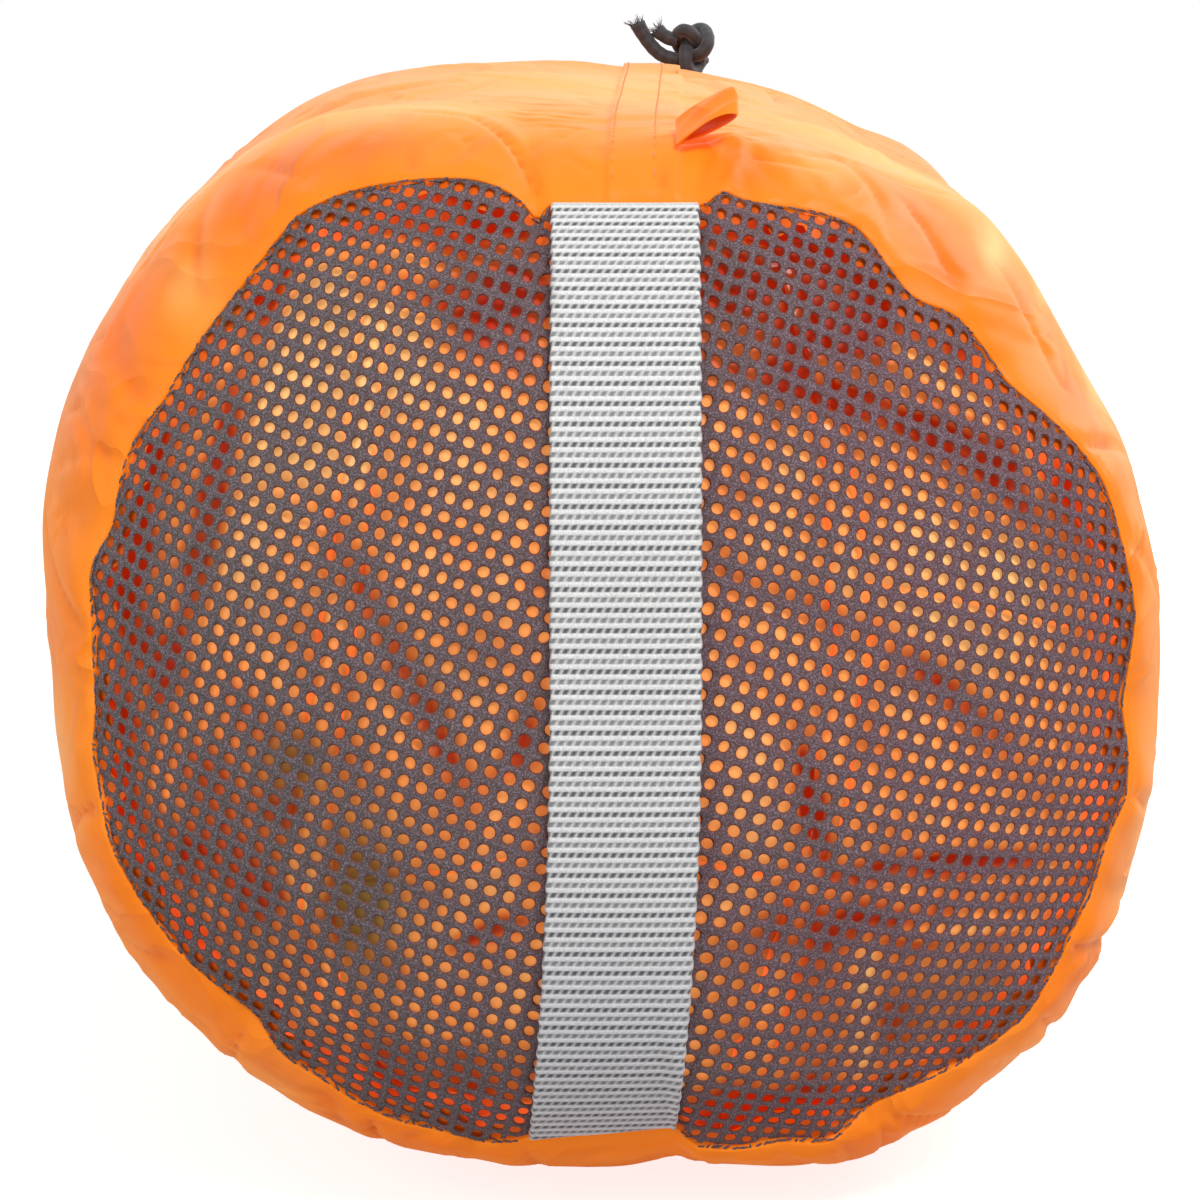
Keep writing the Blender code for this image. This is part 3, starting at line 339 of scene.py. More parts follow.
def nylon(name, deep, light, roughness, painted_shade_color=(0.90, 0.150, 0.003), glow=0.22):
    """Coated nylon: orange by a large mottle, painted light and shade where stored, painted shade in creases,
    a painted highlight edge-on.

    A weak glow, which is painted light, stands in for the light that thin cloth lets through; creases dim it
    as painted shade.
    """
    made, tree, shader = new_material(name, deep, roughness, Specular_IOR_Level=0.22, Emission_Strength=glow)
    mottle = mottled(tree, 26.0, 520.0)
    color = mix_color(tree, remap(tree, mottle["Large"], 0.32, 0.68), deep, light)
    # Painted light and shade stored at each point: above 0 painted light, below 0 painted shade
    pale = stored(tree, "pale")
    color = mix_color(tree, remap(tree, pale, 0.0, -1.0), color, painted_shade_color)
    color = mix_color(tree, remap(tree, pale, 0.0, 1.0, 0.0, 0.9), color, PAINTED_LIGHT_ORANGE)
    # Painted highlight where the cloth turns edge-on
    facing = node(tree, "ShaderNodeLayerWeight", {"Blend": 0.5}).outputs["Facing"]
    color = mix_color(tree, remap(tree, facing, 0.6, 1.0, 0.0, 0.35), color, PAINTED_EDGE_HIGHLIGHT)
    # Painted shade in creases
    crease = stored(tree, "crease")
    color = mix_color(tree, crease, color, [part * shade for part, shade in zip(deep, CREASE_SHADE)])
    rough = remap(tree, mottle["Large"], 0.3, 0.7, roughness - 0.05, roughness + 0.07)
    weave = use_group(tree, WEAVE, {"Yarns per metre": 2600.0})["Height"]
    height = math_node(tree, "ADD", math_node(tree, "MULTIPLY", weave, 0.35), mottle["Fine"])
    folds = bump(tree, use_group(tree, CRUMPLE)["Height"], 0.9, 4.2 * MM)
    # The glow is painted light, dimmed in creases as painted shade
    through = mix_color(tree, crease, mix_color(tree, 0.7, color, PAINTED_GLOW_ORANGE), CREASE_SHADED_GLOW)
    feed(shader, Base_Color=color, Roughness=rough, Emission_Color=through,
         Normal=bump(tree, height, 0.18, 0.12 * MM, Normal=folds))
    return made


def knit():
    """Knitted mesh yarn: grey on the left and more purple on the right, flecked, with painted orange bounce
    light beside the holes.
    """
    made, tree, shader = new_material(
        "mesh_yarn", (0.12, 0.085, 0.085), 0.9, Sheen_Weight=0.1, Specular_IOR_Level=0.15)
    mottle, fibre = mottled(tree, 45.0, 3600.0), mottled(tree, 1500.0, 6500.0)
    across = remap(tree, object_axis(tree, "X"), -0.06, 0.05)
    varied = remap(tree, mottle["Large"], 0.3, 0.7, 0.5, 1.2)
    tint = math_node(tree, "MULTIPLY", across, varied, clamp=True)
    color = mix_color(tree, tint, (0.100, 0.086, 0.083), (0.142, 0.074, 0.088))
    color = mix_color(tree, remap(tree, mottle["Fine"], 0.48, 0.64, 0.0, 0.7), color, (0.34, 0.27, 0.33))
    color = mix_color(tree, remap(tree, fibre["Large"], 0.44, 0.30, 0.0, 0.6), color, (0.060, 0.068, 0.055))
    # Painted orange bounce light beside the holes
    hole_bounce_light = remap(tree, stored(tree, "groove"), 0.1, 1.0, 0.0, 0.8)
    color = mix_color(tree, hole_bounce_light, color, (0.22, 0.065, 0.036))
    height = math_node(tree, "ADD", mottle["Fine"], fibre["Large"])
    feed(shader, Base_Color=color, Normal=bump(tree, height, 0.8, 0.15 * MM))
    return made


def webbing():
    """Woven tape: white ribs with painted shade in the grey grooves, painted shade greyer towards its lower
    end, fine threads as bump.
    """
    made, tree, shader = new_material("webbing_white", (0.72, 0.73, 0.71), 0.6, Sheen_Weight=0.2)
    mottle = mottled(tree, 50.0, 2600.0)
    pale = mix_color(tree, remap(tree, mottle["Fine"], 0.3, 0.7), (0.72, 0.72, 0.72), (0.97, 0.97, 0.95))
    # Painted shade, greyer towards the tape's lower end
    low = remap(tree, object_axis(tree, "Z"), 0.02, 0.10, 0.4, 0.0)
    pale = mix_color(tree, low, pale, (0.50, 0.50, 0.60))
    # Painted shade in the grooves between the ribs
    color = mix_color(tree, stored(tree, "groove"), pale, (0.085, 0.085, 0.095))
    feed(shader, Base_Color=color, Normal=bump(tree, mottle["Fine"], 0.45, 0.12 * MM))
    return made


def braid(name, dark, light):
    """Braided cord or thread: two colours by the braid's height, which paint shade into its gaps, with fine
    fibre noise as bump.
    """
    made, tree, shader = new_material(name, dark, 0.7, Sheen_Weight=0.3)
    mottle = mottled(tree, 120.0, 3800.0)
    fibres = remap(tree, mottle["Fine"], 0.2, 0.8, 0.4, 1.2)
    # Painted shade in the braid's gaps, by the stored strand height
    color = mix_color(tree, math_node(tree, "MULTIPLY", stored(tree, "strand"), fibres), dark, light)
    feed(shader, Base_Color=color, Normal=bump(tree, mottle["Fine"], 0.5, 0.15 * MM))
    return made


def plastic():
    """Moulded plastic: satin black, its spark-worn skin as a fine bump and a rougher mottle."""
    made, tree, shader = new_material("lock_black", (0.018, 0.018, 0.02), 0.38)
    mottle = mottled(tree, 90.0, 2200.0)
    feed(shader, Roughness=remap(tree, mottle["Large"], 0.3, 0.7, 0.32, 0.46),
         Normal=bump(tree, mottle["Fine"], 0.25, 0.08 * MM))
    return made


def steel():
    """Drawn spring wire: bright steel with a mottled roughness."""
    made, tree, shader = new_material("spring_wire", (0.6, 0.6, 0.61), 0.25, Metallic=1.0)
    feed(shader, Roughness=remap(tree, mottled(tree, 300.0, 4000.0)["Fine"], 0.3, 0.7, 0.18, 0.36))
    return made


def shelter_cloth(name, gloss, dull_share):
    """The shelter's thin cloth, glowing as painted light: from deep red painted shade in its hollows to pale
    orange painted light where light comes through it.
    """
    # The cloth glows: painted light
    made, tree, shader = new_material(
        name, (0.95, 0.30, 0.04), 0.5 - 0.3 * gloss, Specular_IOR_Level=0.3, Emission_Strength=0.45)
    mottle = mottled(tree, 110.0, 700.0)
    spread = remap(tree, mottle["Large"], 0.3, 0.7, -0.12, 0.12)
    # The stored level of painted light and shade
    level = math_node(tree, "ADD", stored(tree, "painted_light_level"), spread, clamp=True)
    color = mix_color(tree, remap(tree, level, 0.0, 0.5), (0.42, 0.020, 0.003), (1.0, 0.31, 0.070))
    color = mix_color(tree, remap(tree, level, 0.5, 1.0), color, (1.0, 0.52, 0.18))
    patch = math_node(tree, "MULTIPLY", stored(tree, "dull"), dull_share)
    color = mix_color(tree, patch, color, (0.20, 0.105, 0.022))
    feed(shader, Base_Color=color, Emission_Color=color, Normal=bump(tree, mottle["Fine"], 0.3, 0.2 * MM))
    return made


SACK_NYLON = nylon("sack_nylon", (0.92, 0.225, 0.008), (0.96, 0.265, 0.014), 0.44)
LOOP_NYLON = nylon("loop_nylon_shaded_inside", (0.93, 0.22, 0.010), (0.96, 0.26, 0.016), 0.46,
                   painted_shade_color=(0.66, 0.028, 0.001), glow=0.2)
SHELTER_NYLON = shelter_cloth("shelter_nylon", 0.0, 0.9)
SEAT_NYLON = shelter_cloth("seat_nylon", 0.1, 1.0)
MESH_YARN = knit()
WEBBING_WHITE = webbing()
CORD_BRAID = braid("cord_braid", (0.014, 0.014, 0.017), (0.055, 0.054, 0.062))
THREAD = braid("seam_thread", (0.80, 0.22, 0.03), (0.97, 0.36, 0.09))
LOCK_BLACK = plastic()
SPRING_WIRE = steel()
CLEAR_FILM = shelter_cloth("clear_film", 1.0, 0.9)
print("finishes:", [finish.name for finish in bpy.data.materials])

# %% [markdown]
# ## The cord tails
#
# The drawcord leaves its tunnel at the rear, passes through the cord lock and runs forward over the
# sack's shoulder to a knot, which is the only part that the photograph shows. Each tail is a tube along a
# smooth curve through a few points. The tube's surface is braided: two families of strands cross each
# other, so its radius swells and sinks as the product of two waves that run round it in opposite ways.

# %% Cord tubes
CORD_D = 3.2 * MM
BRAID_PITCH = 4.2 * MM
BRAID_STRANDS = 4
SPAN_STEPS = 24
# The painted shade level of the tubes' end caps
END_STRAND = 0.2


def smooth_curve(knots, spacing):
    """Points along the Catmull-Rom curve through the knots, evenly spaced by arc length."""
    knots = np.asarray(knots, float)
    padded = np.vstack([2 * knots[0] - knots[1], knots, 2 * knots[-1] - knots[-2]])
    t = np.arange(SPAN_STEPS)[:, None] / SPAN_STEPS
    spans = [0.5 * (2 * p1 + (p2 - p0) * t + (2 * p0 - 5 * p1 + 4 * p2 - p3) * t**2
                    + (3 * p1 - p0 - 3 * p2 + p3) * t**3)
             for p0, p1, p2, p3 in zip(padded, padded[1:], padded[2:], padded[3:])]
    fine = np.vstack(spans + [knots[-1:]])
    reach = reach_along(fine)
    wanted = np.linspace(0, reach[-1], max(3, round(reach[-1] / spacing) + 1))
    return np.stack([np.interp(wanted, reach, fine[:, k]) for k in range(3)], axis=-1)


def carried_frames(path, closed=False):
    """Two directions across the path at each point, carried along it without twist."""
    if closed:
        tangent = unit(np.roll(path, -1, axis=0) - np.roll(path, 1, axis=0))
    else:
        tangent = unit(np.gradient(path, axis=0))
    side = [unit(np.cross(tangent[0], (0.31, 0.2, 0.93)))]
    for direction in tangent[1:]:
        side.append(unit(side[-1] - direction * side[-1].dot(direction)))
    side = np.array(side)
    return side, np.cross(tangent, side)


def braid_height(along, turn):
    """1 on a strand's crown and 0 in the gaps: waves round the cord that climb opposite ways, multiplied."""
    climb = 2 * math.pi * along / BRAID_PITCH
    first = np.cos(BRAID_STRANDS * turn + climb)
    second = np.cos(BRAID_STRANDS * turn - climb)
    return 0.5 + 0.5 * first * second


def braided_tube(name, path, diameter, sides, body, stands_for=(), finish=CORD_BRAID, taper=None,
                 closed=False, relief=0.07):
    """A braided tube round a path: joined into a ring, or with each end closed by a fan of triangles."""
    side, up = carried_frames(path, closed)
    along = reach_along(path)
    turn = np.linspace(0, 2 * math.pi, sides, endpoint=False)
    strand = braid_height(along[:, None], turn[None])
    radius = diameter / 2 * (1 - relief + relief * strand)
    if taper is not None:
        radius = radius * taper(along / along[-1])[:, None]
    points = path[:, None] + turned(turn[None], side[:, None], up[:, None]) * radius[..., None]
    if closed:
        return add_piece(name, points, torus_faces(len(path), sides), finish, body, stands_for,
                         {"strand": strand})
    first, last = (len(path) - 1) * sides, points.shape[0] * sides
    j, k = round_ring(sides)
    faces = grid_faces(len(path), sides, closed=True).tolist()
    faces += np.stack([np.full(sides, last), k, j], -1).tolist()
    faces += np.stack([np.full(sides, last + 1), first + j, first + k], -1).tolist()
    return add_piece(name, np.vstack([points.reshape(-1, 3), path[[0, -1]]]), faces, finish, body,
                     stands_for, {"strand": np.append(strand.ravel(), [END_STRAND, END_STRAND])})


# %% The two tails
TAIL_KNOTS = {
    "left": [
        (-0.00790, 0.15680, 0.10774), (-0.00443, 0.15680, 0.10974), (-0.00096, 0.15501, 0.12028),
        (-0.00096, 0.15393, 0.12800), (-0.00096, 0.15193, 0.14226), (-0.00096, 0.14992, 0.15652),
        (-0.00096, 0.14892, 0.16365), (0.00575, 0.12738, 0.17252), (0.01186, 0.11896, 0.18011),
        (0.01762, 0.11308, 0.18762)],
    "right": [
        (0.00958, 0.15680, 0.10774), (0.00612, 0.15680, 0.10974), (0.00264, 0.15501, 0.12028),
        (0.00264, 0.15393, 0.12800), (0.00264, 0.15193, 0.14226), (0.00264, 0.14992, 0.15652),
        (0.00264, 0.14892, 0.16365), (0.01048, 0.12738, 0.17197), (0.01661, 0.11896, 0.17942),
        (0.02230, 0.11308, 0.18762)],
}
TAIL_SPACING, TUBE_SIDES = 0.45 * MM, 24
tail_paths = {}
for hand, knots in TAIL_KNOTS.items():
    tail_paths[hand] = smooth_curve(knots, TAIL_SPACING)
    braided_tube(f"cord_tail_{hand}", tail_paths[hand], CORD_D, TUBE_SIDES, "sack",
                               (f"drawcord_tail_{hand}",))

# %% [markdown]
# ## The knot and the cut ends
#
# Both tails end in one overhand knot. Its tight wraps are a trefoil: seen from the front the curve goes
# round twice while it sways forwards and back three times. The two cut ends stand out past the knot, and
# their fibres have opened: a few dozen thin fibres fan out from the end of each tube.

# %% Knot and ends
KNOT_PLACE = np.array([0.01980, 0.10800, 0.19020])
KNOT_SIZE = np.array([9.8, 9.6, 14.2]) * MM
KNOT_POINTS, KNOT_SIDES = 150, 20


def knot_path():
    """The trefoil (sin t + 2 sin 2t, -sin 3t, cos t - 2 cos 2t), scaled into the knot's box."""
    t = np.linspace(0, 2 * math.pi, KNOT_POINTS, endpoint=False)
    curve = np.stack([np.sin(t) + 2 * np.sin(2 * t), -np.sin(3 * t), np.cos(t) - 2 * np.cos(2 * t)], -1)
    room = KNOT_SIZE / 2 - CORD_D * 0.47
    return KNOT_PLACE + curve / np.abs(curve).max(axis=0) * room


knot = braided_tube("cord_knot", knot_path(), CORD_D * 0.95, KNOT_SIDES, "sack",
                    ("drawcord_knot",), closed=True)

# Each cut end: its direction, its length, where it leaves the knot's middle, and how far it curls up
END_STYLES = {
    "left": ((-1.0, -0.05, 0.28), 7.0 * MM, (-5.6 * MM, -1.0 * MM, -2.2 * MM), 5.6 * MM),
    "right": ((-1.0, 0.0, 0.25), 3.4 * MM, (-4.6 * MM, -1.0 * MM, 1.8 * MM), 1.2 * MM),
}
END_POINTS, END_SPACING = 24, 0.4 * MM
FIBRES, FIBRE_STEPS, FIBRE_SIDES = 44, 5, 3
FIBRE_RADIUS, FIBRE_ROOT, FIBRE_CURL, FIBRE_STRAND = 0.13 * MM, 0.6 * MM, 0.9 * MM, 0.9
fibre_rng = np.random.default_rng(11)


def end_route(hand):
    """A cut end's path: from inside the knot along its direction, curling up with the square of the way."""
    direction, length, start, curl = END_STYLES[hand]
    way = unit(np.array(direction))
    share = np.linspace(-0.35, 1.0, END_POINTS)[:, None]
    rise = np.array((0, 0, curl)) * np.clip(share, 0, 1)**2
    return KNOT_PLACE + np.array(start) + way * length * share + rise


def fray(path):
    """Fibres that fan from a cut end: three-sided spikes, each bent outwards a little more than the last."""
    along = unit(path[-1] - path[-3])
    side = unit(np.cross(along, (0.2, 1.0, 0.1)))
    up = np.cross(along, side)
    spread = fibre_rng.uniform(0.05, 0.75, FIBRES)
    turn = fibre_rng.uniform(0, 2 * math.pi, FIBRES)
    length = fibre_rng.uniform(0.8, 2.4, FIBRES) * MM
    out = turned(turn, side, up)
    root = out * (CORD_D * 0.40 * np.sqrt(fibre_rng.uniform(0, 1, FIBRES)))[:, None]
    base = path[-1] + root - along * FIBRE_ROOT
    steps = np.linspace(0, 1, FIBRE_STEPS)
    line = (base[:, None] + (along + out * spread[:, None])[:, None] * (length[:, None] * steps)[..., None]
            + out[:, None] * (spread[:, None] * FIBRE_CURL * steps**2)[..., None])
    thick = (FIBRE_RADIUS * (1 - 0.6 * steps))[None, :, None, None]
    corner = 2 * math.pi * np.arange(FIBRE_SIDES) / FIBRE_SIDES
    points = line[:, :, None] + turned(corner, side, up)[None, None] * thick
    rows = grid_faces(FIBRE_STEPS, FIBRE_SIDES, closed=True)
    faces = (rows[None] + FIBRE_STEPS * FIBRE_SIDES * np.arange(FIBRES)[:, None, None]).reshape(-1, 4)
    return points.reshape(-1, 3), faces


for hand in END_STYLES:
    path = end_route(hand)
    braided_tube(
        f"cord_end_{hand}", smooth_curve(path, END_SPACING), CORD_D, TUBE_SIDES, "sack",
        (f"drawcord_end_{hand}",), taper=lambda share: 1 + 0.12 * ease(share * 3 - 2))
    points, faces = fray(path)
    add_piece(f"cord_fray_{hand}", points, faces, CORD_BRAID, "sack", (),
                                {"strand": np.full(len(points), FIBRE_STRAND)})

# %% [markdown]
# ## The shape of the sack
#
# The sack is a tube whose section is not round: its folded load pushes it out in places. The outline of
# the end seam and of the fullest part were measured round the object in steps, and a periodic curve
# through those radii gives the section. Along the sack the radius grows from the seam to the full body
# along a rounded shoulder, stays, and draws in to the mouth. Places on it are given as an angle theta
# round its axis and a way s behind its front.

# %% Section and length of the sack
SHIFT_X, Y_SHIFT = 0.842 * MM, -160.102 * MM
AXIS_Z, MOUTH_Z = 98.0 * MM, 92.0 * MM
SEAM_S, SHOULDER_LENGTH = 25.0 * MM, 50.0 * MM
REAR_S, MOUTH_S = 225.0 * MM, 303.0 * MM
REAR_ROUNDNESS, SWELL_POWER = 2.6, 0.66
MOUTH_RADIUS, NECK_LENGTH = 19.0 * MM, 7.0 * MM
END_TILT, TILT_FADE = 0.11, 90.0 * MM
DOME_HEIGHT, DOME_POWER, ROUND_SEAM = 25.0 * MM, 3.0, 86.0 * MM
# Fuller places of the wall: degrees, mm behind the front, reach in degrees and in mm, and height in mm
FULL_PLACES = (
    (80, 37, 11, 11, 2.8), (80, 272, 17, 22, 5.0), (270, 165, 30, 62, 4.0), (235, 150, 26, 60, 2.0),
    (305, 150, 26, 60, 1.5))
FULL_PLACES_START = 8.0 * MM

# Measured radii in mm, evenly round the sack from its right side upwards
BODY_OUTLINE = (
    98.0, 97.1, 97.4, 95.2, 94.8, 96.6, 98.1, 93.8, 93.0, 91.5, 90.3, 89.4,
    91.1, 94.2, 98.2, 102.4, 104.7, 105.8, 105.7, 105.4, 104.6, 103.4, 100.7, 99.2,
    100.5, 102.4, 103.7, 104.7, 104.4, 102.5, 102.2, 98.7, 97.3, 97.2, 97.7, 94.1,
    100.1, 105.0, 106.3, 104.9, 106.2, 103.8, 103.0, 101.0, 99.1)
SEAM_OUTLINE = (
    88.3, 89.7, 89.3, 89.0, 89.1, 86.9, 84.3, 81.8, 82.4, 82.6, 79.4, 81.4,
    84.2, 83.3, 81.3, 80.5, 84.6, 69.6, 49.5, 50.7, 78.1, 83.7, 86.4, 88.6,
    90.7, 91.8, 89.8, 88.4, 88.0, 87.6, 87.2, 88.9, 88.4, 87.0, 89.8, 88.2,
    87.7, 87.6, 89.4, 89.6, 90.7, 90.1, 89.2, 88.4, 86.7, 85.0, 87.6, 86.6,
    86.8, 86.6, 85.1, 85.1, 83.5, 80.5, 80.0, 81.0, 84.2, 86.4, 87.0, 90.9,
    87.7, 89.0, 90.8, 92.4, 93.5, 92.3, 91.4, 91.1, 89.9, 91.1, 89.7, 87.2)
# Straight stretches of the seam: middle and half width in degrees, the line's normal, its distance in mm
SEAM_STRAIGHTS = ((88.1, 11.1, 90.0, 76.6), (269.2, 9.6, 274.87, 79.6))
STRAIGHT_BLEND = 3.0
SEAM_INSIDE = 3.0 * MM
TABLE_STEPS = 720
BELL_REACH = 40


def turn_from(theta, degrees):
    """How far each angle lies from one direction, in degrees, the short way round."""
    return (np.degrees(theta) - degrees + 180) % 360 - 180


def periodic_table(outline, spread):
    """Radii in metres at every half degree, from evenly spread millimetres, smoothed by a bell curve."""
    step = 360 / TABLE_STEPS
    angles = np.arange(len(outline)) * 360 / len(outline)
    plain = np.interp(np.arange(0, 360, step), angles, outline, period=360)
    weights = bell(np.arange(-BELL_REACH, BELL_REACH + 1) * step / spread)
    padded = np.concatenate([plain[-BELL_REACH:], plain, plain[:BELL_REACH]])
    return np.convolve(padded, weights / weights.sum(), mode="valid") * MM


SEAM_TABLE = periodic_table(SEAM_OUTLINE, 1.6)
BODY_TABLE = periodic_table(BODY_OUTLINE, 3.0)


def from_table(table, theta):
    """The table's radius at any angle, straight between its steps."""
    place = (np.degrees(theta) % 360) * TABLE_STEPS / 360
    low = np.floor(place).astype(int)
    share = place - low
    return table[low % TABLE_STEPS] * (1 - share) + table[(low + 1) % TABLE_STEPS] * share


def body_radius(theta):
    """The measured radius of the fullest part."""
    return from_table(BODY_TABLE, theta)


def seam_radius(theta):
    """The measured seam radius, with straight stretches where the strap's ends are sewn in."""
    radius = from_table(SEAM_TABLE, theta)
    for middle, half, normal, distance in SEAM_STRAIGHTS:
        inside = half + STRAIGHT_BLEND / 2 - np.abs(turn_from(theta, middle))
        share = ease(inside / STRAIGHT_BLEND)
        line = distance * MM / np.maximum(np.cos(np.radians(turn_from(theta, normal))), 0.5)
        radius = radius * (1 - share) + line * share
    return np.minimum(radius, body_radius(theta) - SEAM_INSIDE)


def soft_ovals(theta, s, ovals):
    """The sum of soft ovals on the unrolled wall: degrees, mm, reach in degrees and mm, and strength."""
    total = np.zeros(np.broadcast(theta, s).shape)
    for degrees, s_middle, reach, s_reach, strength in ovals:
        total += strength * bell(turn_from(theta, degrees) / reach) * bell((s / MM - s_middle) / s_reach)
    return total


def sack_radius(theta, s):
    """Seam radius plus the body's extra times (1 - (1 - share)^2)^0.66, drawn in to the mouth at the rear."""
    front = np.clip((s - SEAM_S) / SHOULDER_LENGTH, 0, 1)
    swell = (1 - (1 - front) ** 2) ** SWELL_POWER
    radius = seam_radius(theta) * (1 - swell) + body_radius(theta) * swell
    back = np.clip((s - REAR_S) / (MOUTH_S - REAR_S), 0, 1)
    draw = (1 - back**REAR_ROUNDNESS) ** (1 / REAR_ROUNDNESS)
    fuller = soft_ovals(theta, s, FULL_PLACES) * MM * ease((s - SEAM_S) / FULL_PLACES_START)
    return MOUTH_RADIUS + (radius - MOUTH_RADIUS) * draw + fuller


def axis_z(s):
    """The axis's height: level, then down to the mouth's."""
    return AXIS_Z + (MOUTH_Z - AXIS_Z) * ease((s - REAR_S) / (MOUTH_S - REAR_S))


def place(radius, theta, s, lowest=0.0):
    """x = r cos(theta), z = axis + r sin(theta) but not under the ground, y = s leaning back with height."""
    x = radius * np.cos(theta)
    z = axis_z(s) + radius * np.sin(theta)
    lean = END_TILT * (z - axis_z(s)) * (1 - ease((s - SEAM_S) / TILT_FADE))
    return np.stack([x + SHIFT_X, s + lean + Y_SHIFT, np.maximum(z, lowest)], axis=-1)


def dome(x, q):
    """The mesh dome: 25 mm times 1 - share^3, the share being of a circle inside and of the seam outside."""
    of_seam = of_the_seam(x, q)
    weight = np.clip(of_seam, 0, 1) ** 3
    share = np.hypot(x, q) / ROUND_SEAM * (1 - weight) + of_seam * weight
    height = DOME_HEIGHT * (1 - np.clip(share, 0, 1.2) ** DOME_POWER)
    return np.stack([x + SHIFT_X, SEAM_S + END_TILT * q - height + Y_SHIFT, AXIS_Z + q], axis=-1)


def dome_normal(x, q):
    """The dome's outward unit normal, from its slopes over a step of 0.4 mm."""
    step = 0.2 * MM
    slope_x = (dome(x + step, q)[..., 1] - dome(x - step, q)[..., 1]) / (2 * step)
    slope_q = (dome(x, q + step)[..., 1] - dome(x, q - step)[..., 1]) / (2 * step)
    return unit(np.stack([slope_x, -np.ones_like(slope_x), slope_q], axis=-1))


def of_the_seam(x, q):
    """How far out a place lies, as a share of the seam's radius in its direction."""
    return np.hypot(x, q) / seam_radius(np.arctan2(q, x))


print("seam radius", SEAM_TABLE.min() / MM, "to", SEAM_TABLE.max() / MM, "mm")

# %% [markdown]
# ## From the photograph onto the dome
#
# Some folds are easiest to place by where they show in the photograph. A ray from the camera through a
# pixel meets the dome where its depth matches the dome's own: guess a depth, look up the dome there, and
# repeat a few times. Everything placed this way still lies on the dome, from any side.

# %% Pixel to dome
RAY_STEPS = 12


def on_dome(pixels):
    """(x, q) on the dome for pixels of the 1200 pixel frame, by stepping the ray's depth to the dome."""
    pixels = np.asarray(pixels, float)
    half = SENSOR / 2 / LENS
    right = (pixels[..., 0] / PHOTO_PIXELS * 2 - 1) * half
    up = (1 - pixels[..., 1] / PHOTO_PIXELS * 2) * half
    ray = np.stack([right, math.cos(CAMERA_PITCH) + up * math.sin(CAMERA_PITCH),
                    up * math.cos(CAMERA_PITCH) - math.sin(CAMERA_PITCH)], axis=-1)
    y = np.full(right.shape, SEAM_S + Y_SHIFT)
    for _ in range(RAY_STEPS):
        hit = CAMERA_PLACE + ray * ((y - CAMERA_PLACE[1]) / ray[..., 1])[..., None]
        x, q = hit[..., 0] - SHIFT_X, hit[..., 2] - AXIS_Z
        y = dome(x, q)[..., 1]
    return x, q


def distance_to_line(x, y, line):
    """Each point's distance to a polyline, and how far along it the nearest place is, from 0 to 1."""
    line = np.asarray(line, float)
    reach = reach_along(line)
    done = reach / reach[-1]
    best = np.full(np.shape(x), np.inf)
    along = np.zeros(np.shape(x))
    for a, b, start, end in zip(line, line[1:], done, done[1:]):
        way = b - a
        t = np.clip(((x - a[0]) * way[0] + (y - a[1]) * way[1]) / way.dot(way), 0, 1)
        away = np.hypot(x - a[0] - t * way[0], y - a[1] - t * way[1])
        along = np.where(away < best, start + (end - start) * t, along)
        best = np.minimum(best, away)
    return best, along


print("photo middle lies on the dome at", [round(float(v) / MM, 1) for v in on_dome((600, 600))])

# %% [markdown]
# ## Wrinkles of the wall
#
# Cloth that is packed full shows three kinds of relief: broad lumps where folds inside push it out, short
# sharp creases where it is pinched, and gathers where a longer edge is sewn to a shorter one. Lumps are
# a few cosine waves with odd directions. A crease is a valley along a line with a low ridge on each side.
# Gathers are waves round the seam that fade away from it.

# %% Wall relief
wall_rng = np.random.default_rng(5)
LUMPS = 26
RANDOM_CREASES = 190
CREASE_STRENGTH = 1.35
SHORT_CREASES = 110
CREASE_RADIUS, CREASE_REACH = 100 * MM, 60 * MM
SIDE_CREASE_RADIUS, SEAM_CREASE_RADIUS = 100, 95
LUMP_WAVE, LUMP_HEIGHT = 42 * MM, 0.5 * MM

# Creases seen in the photograph: degrees and mm behind the front at both ends, width and depth in mm
SEEN_CREASES = (
    (76.9, 25, 76.4, 35, 1.3, 1.7), (81.3, 37, 74.5, 41, 2.0, 1.5), (77.0, 33, 66.0, 37, 3.2, 0.9),
    (63.0, 47, 56.5, 29, 2.6, 0.9), (56.0, 44, 46.0, 27, 2.8, 0.9), (45.5, 47, 30.0, 36, 3.0, 1.0),
    (24.1, 25, 20.0, 50, 2.4, 2.0), (12.0, 27, 5.0, 46, 3.0, 1.0), (-14.3, 25, -18.0, 48, 2.4, 1.6),
    (-32.0, 25, -31.0, 55, 2.6, 2.6), (-39.5, 26, -42.0, 52, 2.2, 1.6), (-47.0, 28, -44.0, 46, 2.6, 1.1),
    (-58.8, 25, -53.0, 44, 1.9, 1.8), (-59.2, 25, -62.0, 46, 1.7, 1.5), (-71.0, 27, -66.0, 46, 2.8, 1.2),
    (-81.5, 29, -76.0, 48, 2.0, 1.2), (-100.3, 25, -97.0, 44, 2.0, 1.4), (-117.9, 25, -113.0, 46, 1.9, 1.6),
    (-135.0, 25, -131.0, 48, 1.9, 1.8), (-146.0, 27, -150.0, 50, 2.8, 1.1),
    (-164.5, 25, -160.0, 50, 2.8, 1.6),
    (176.0, 26, 169.0, 52, 3.2, 1.1), (158.0, 27, 163.0, 50, 3.2, 0.8), (139.0, 26, 133.0, 52, 3.6, 0.9),
    (122.0, 26, 127.0, 50, 3.4, 0.8), (98.4, 26, 104.5, 50, 1.7, 1.4), (104.5, 50, 112.0, 60, 2.2, 1.0),
    (92.5, 54, 101.0, 55, 1.1, 0.7), (92.8, 58, 103.0, 61, 1.2, 0.8), (92.2, 64, 100.0, 66, 1.4, 0.8),
    (92.6, 49, 97.0, 50, 1.0, 0.6), (84.0, 52, 76.0, 56, 1.3, 0.8), (84.5, 60, 74.0, 62, 1.5, 0.8))
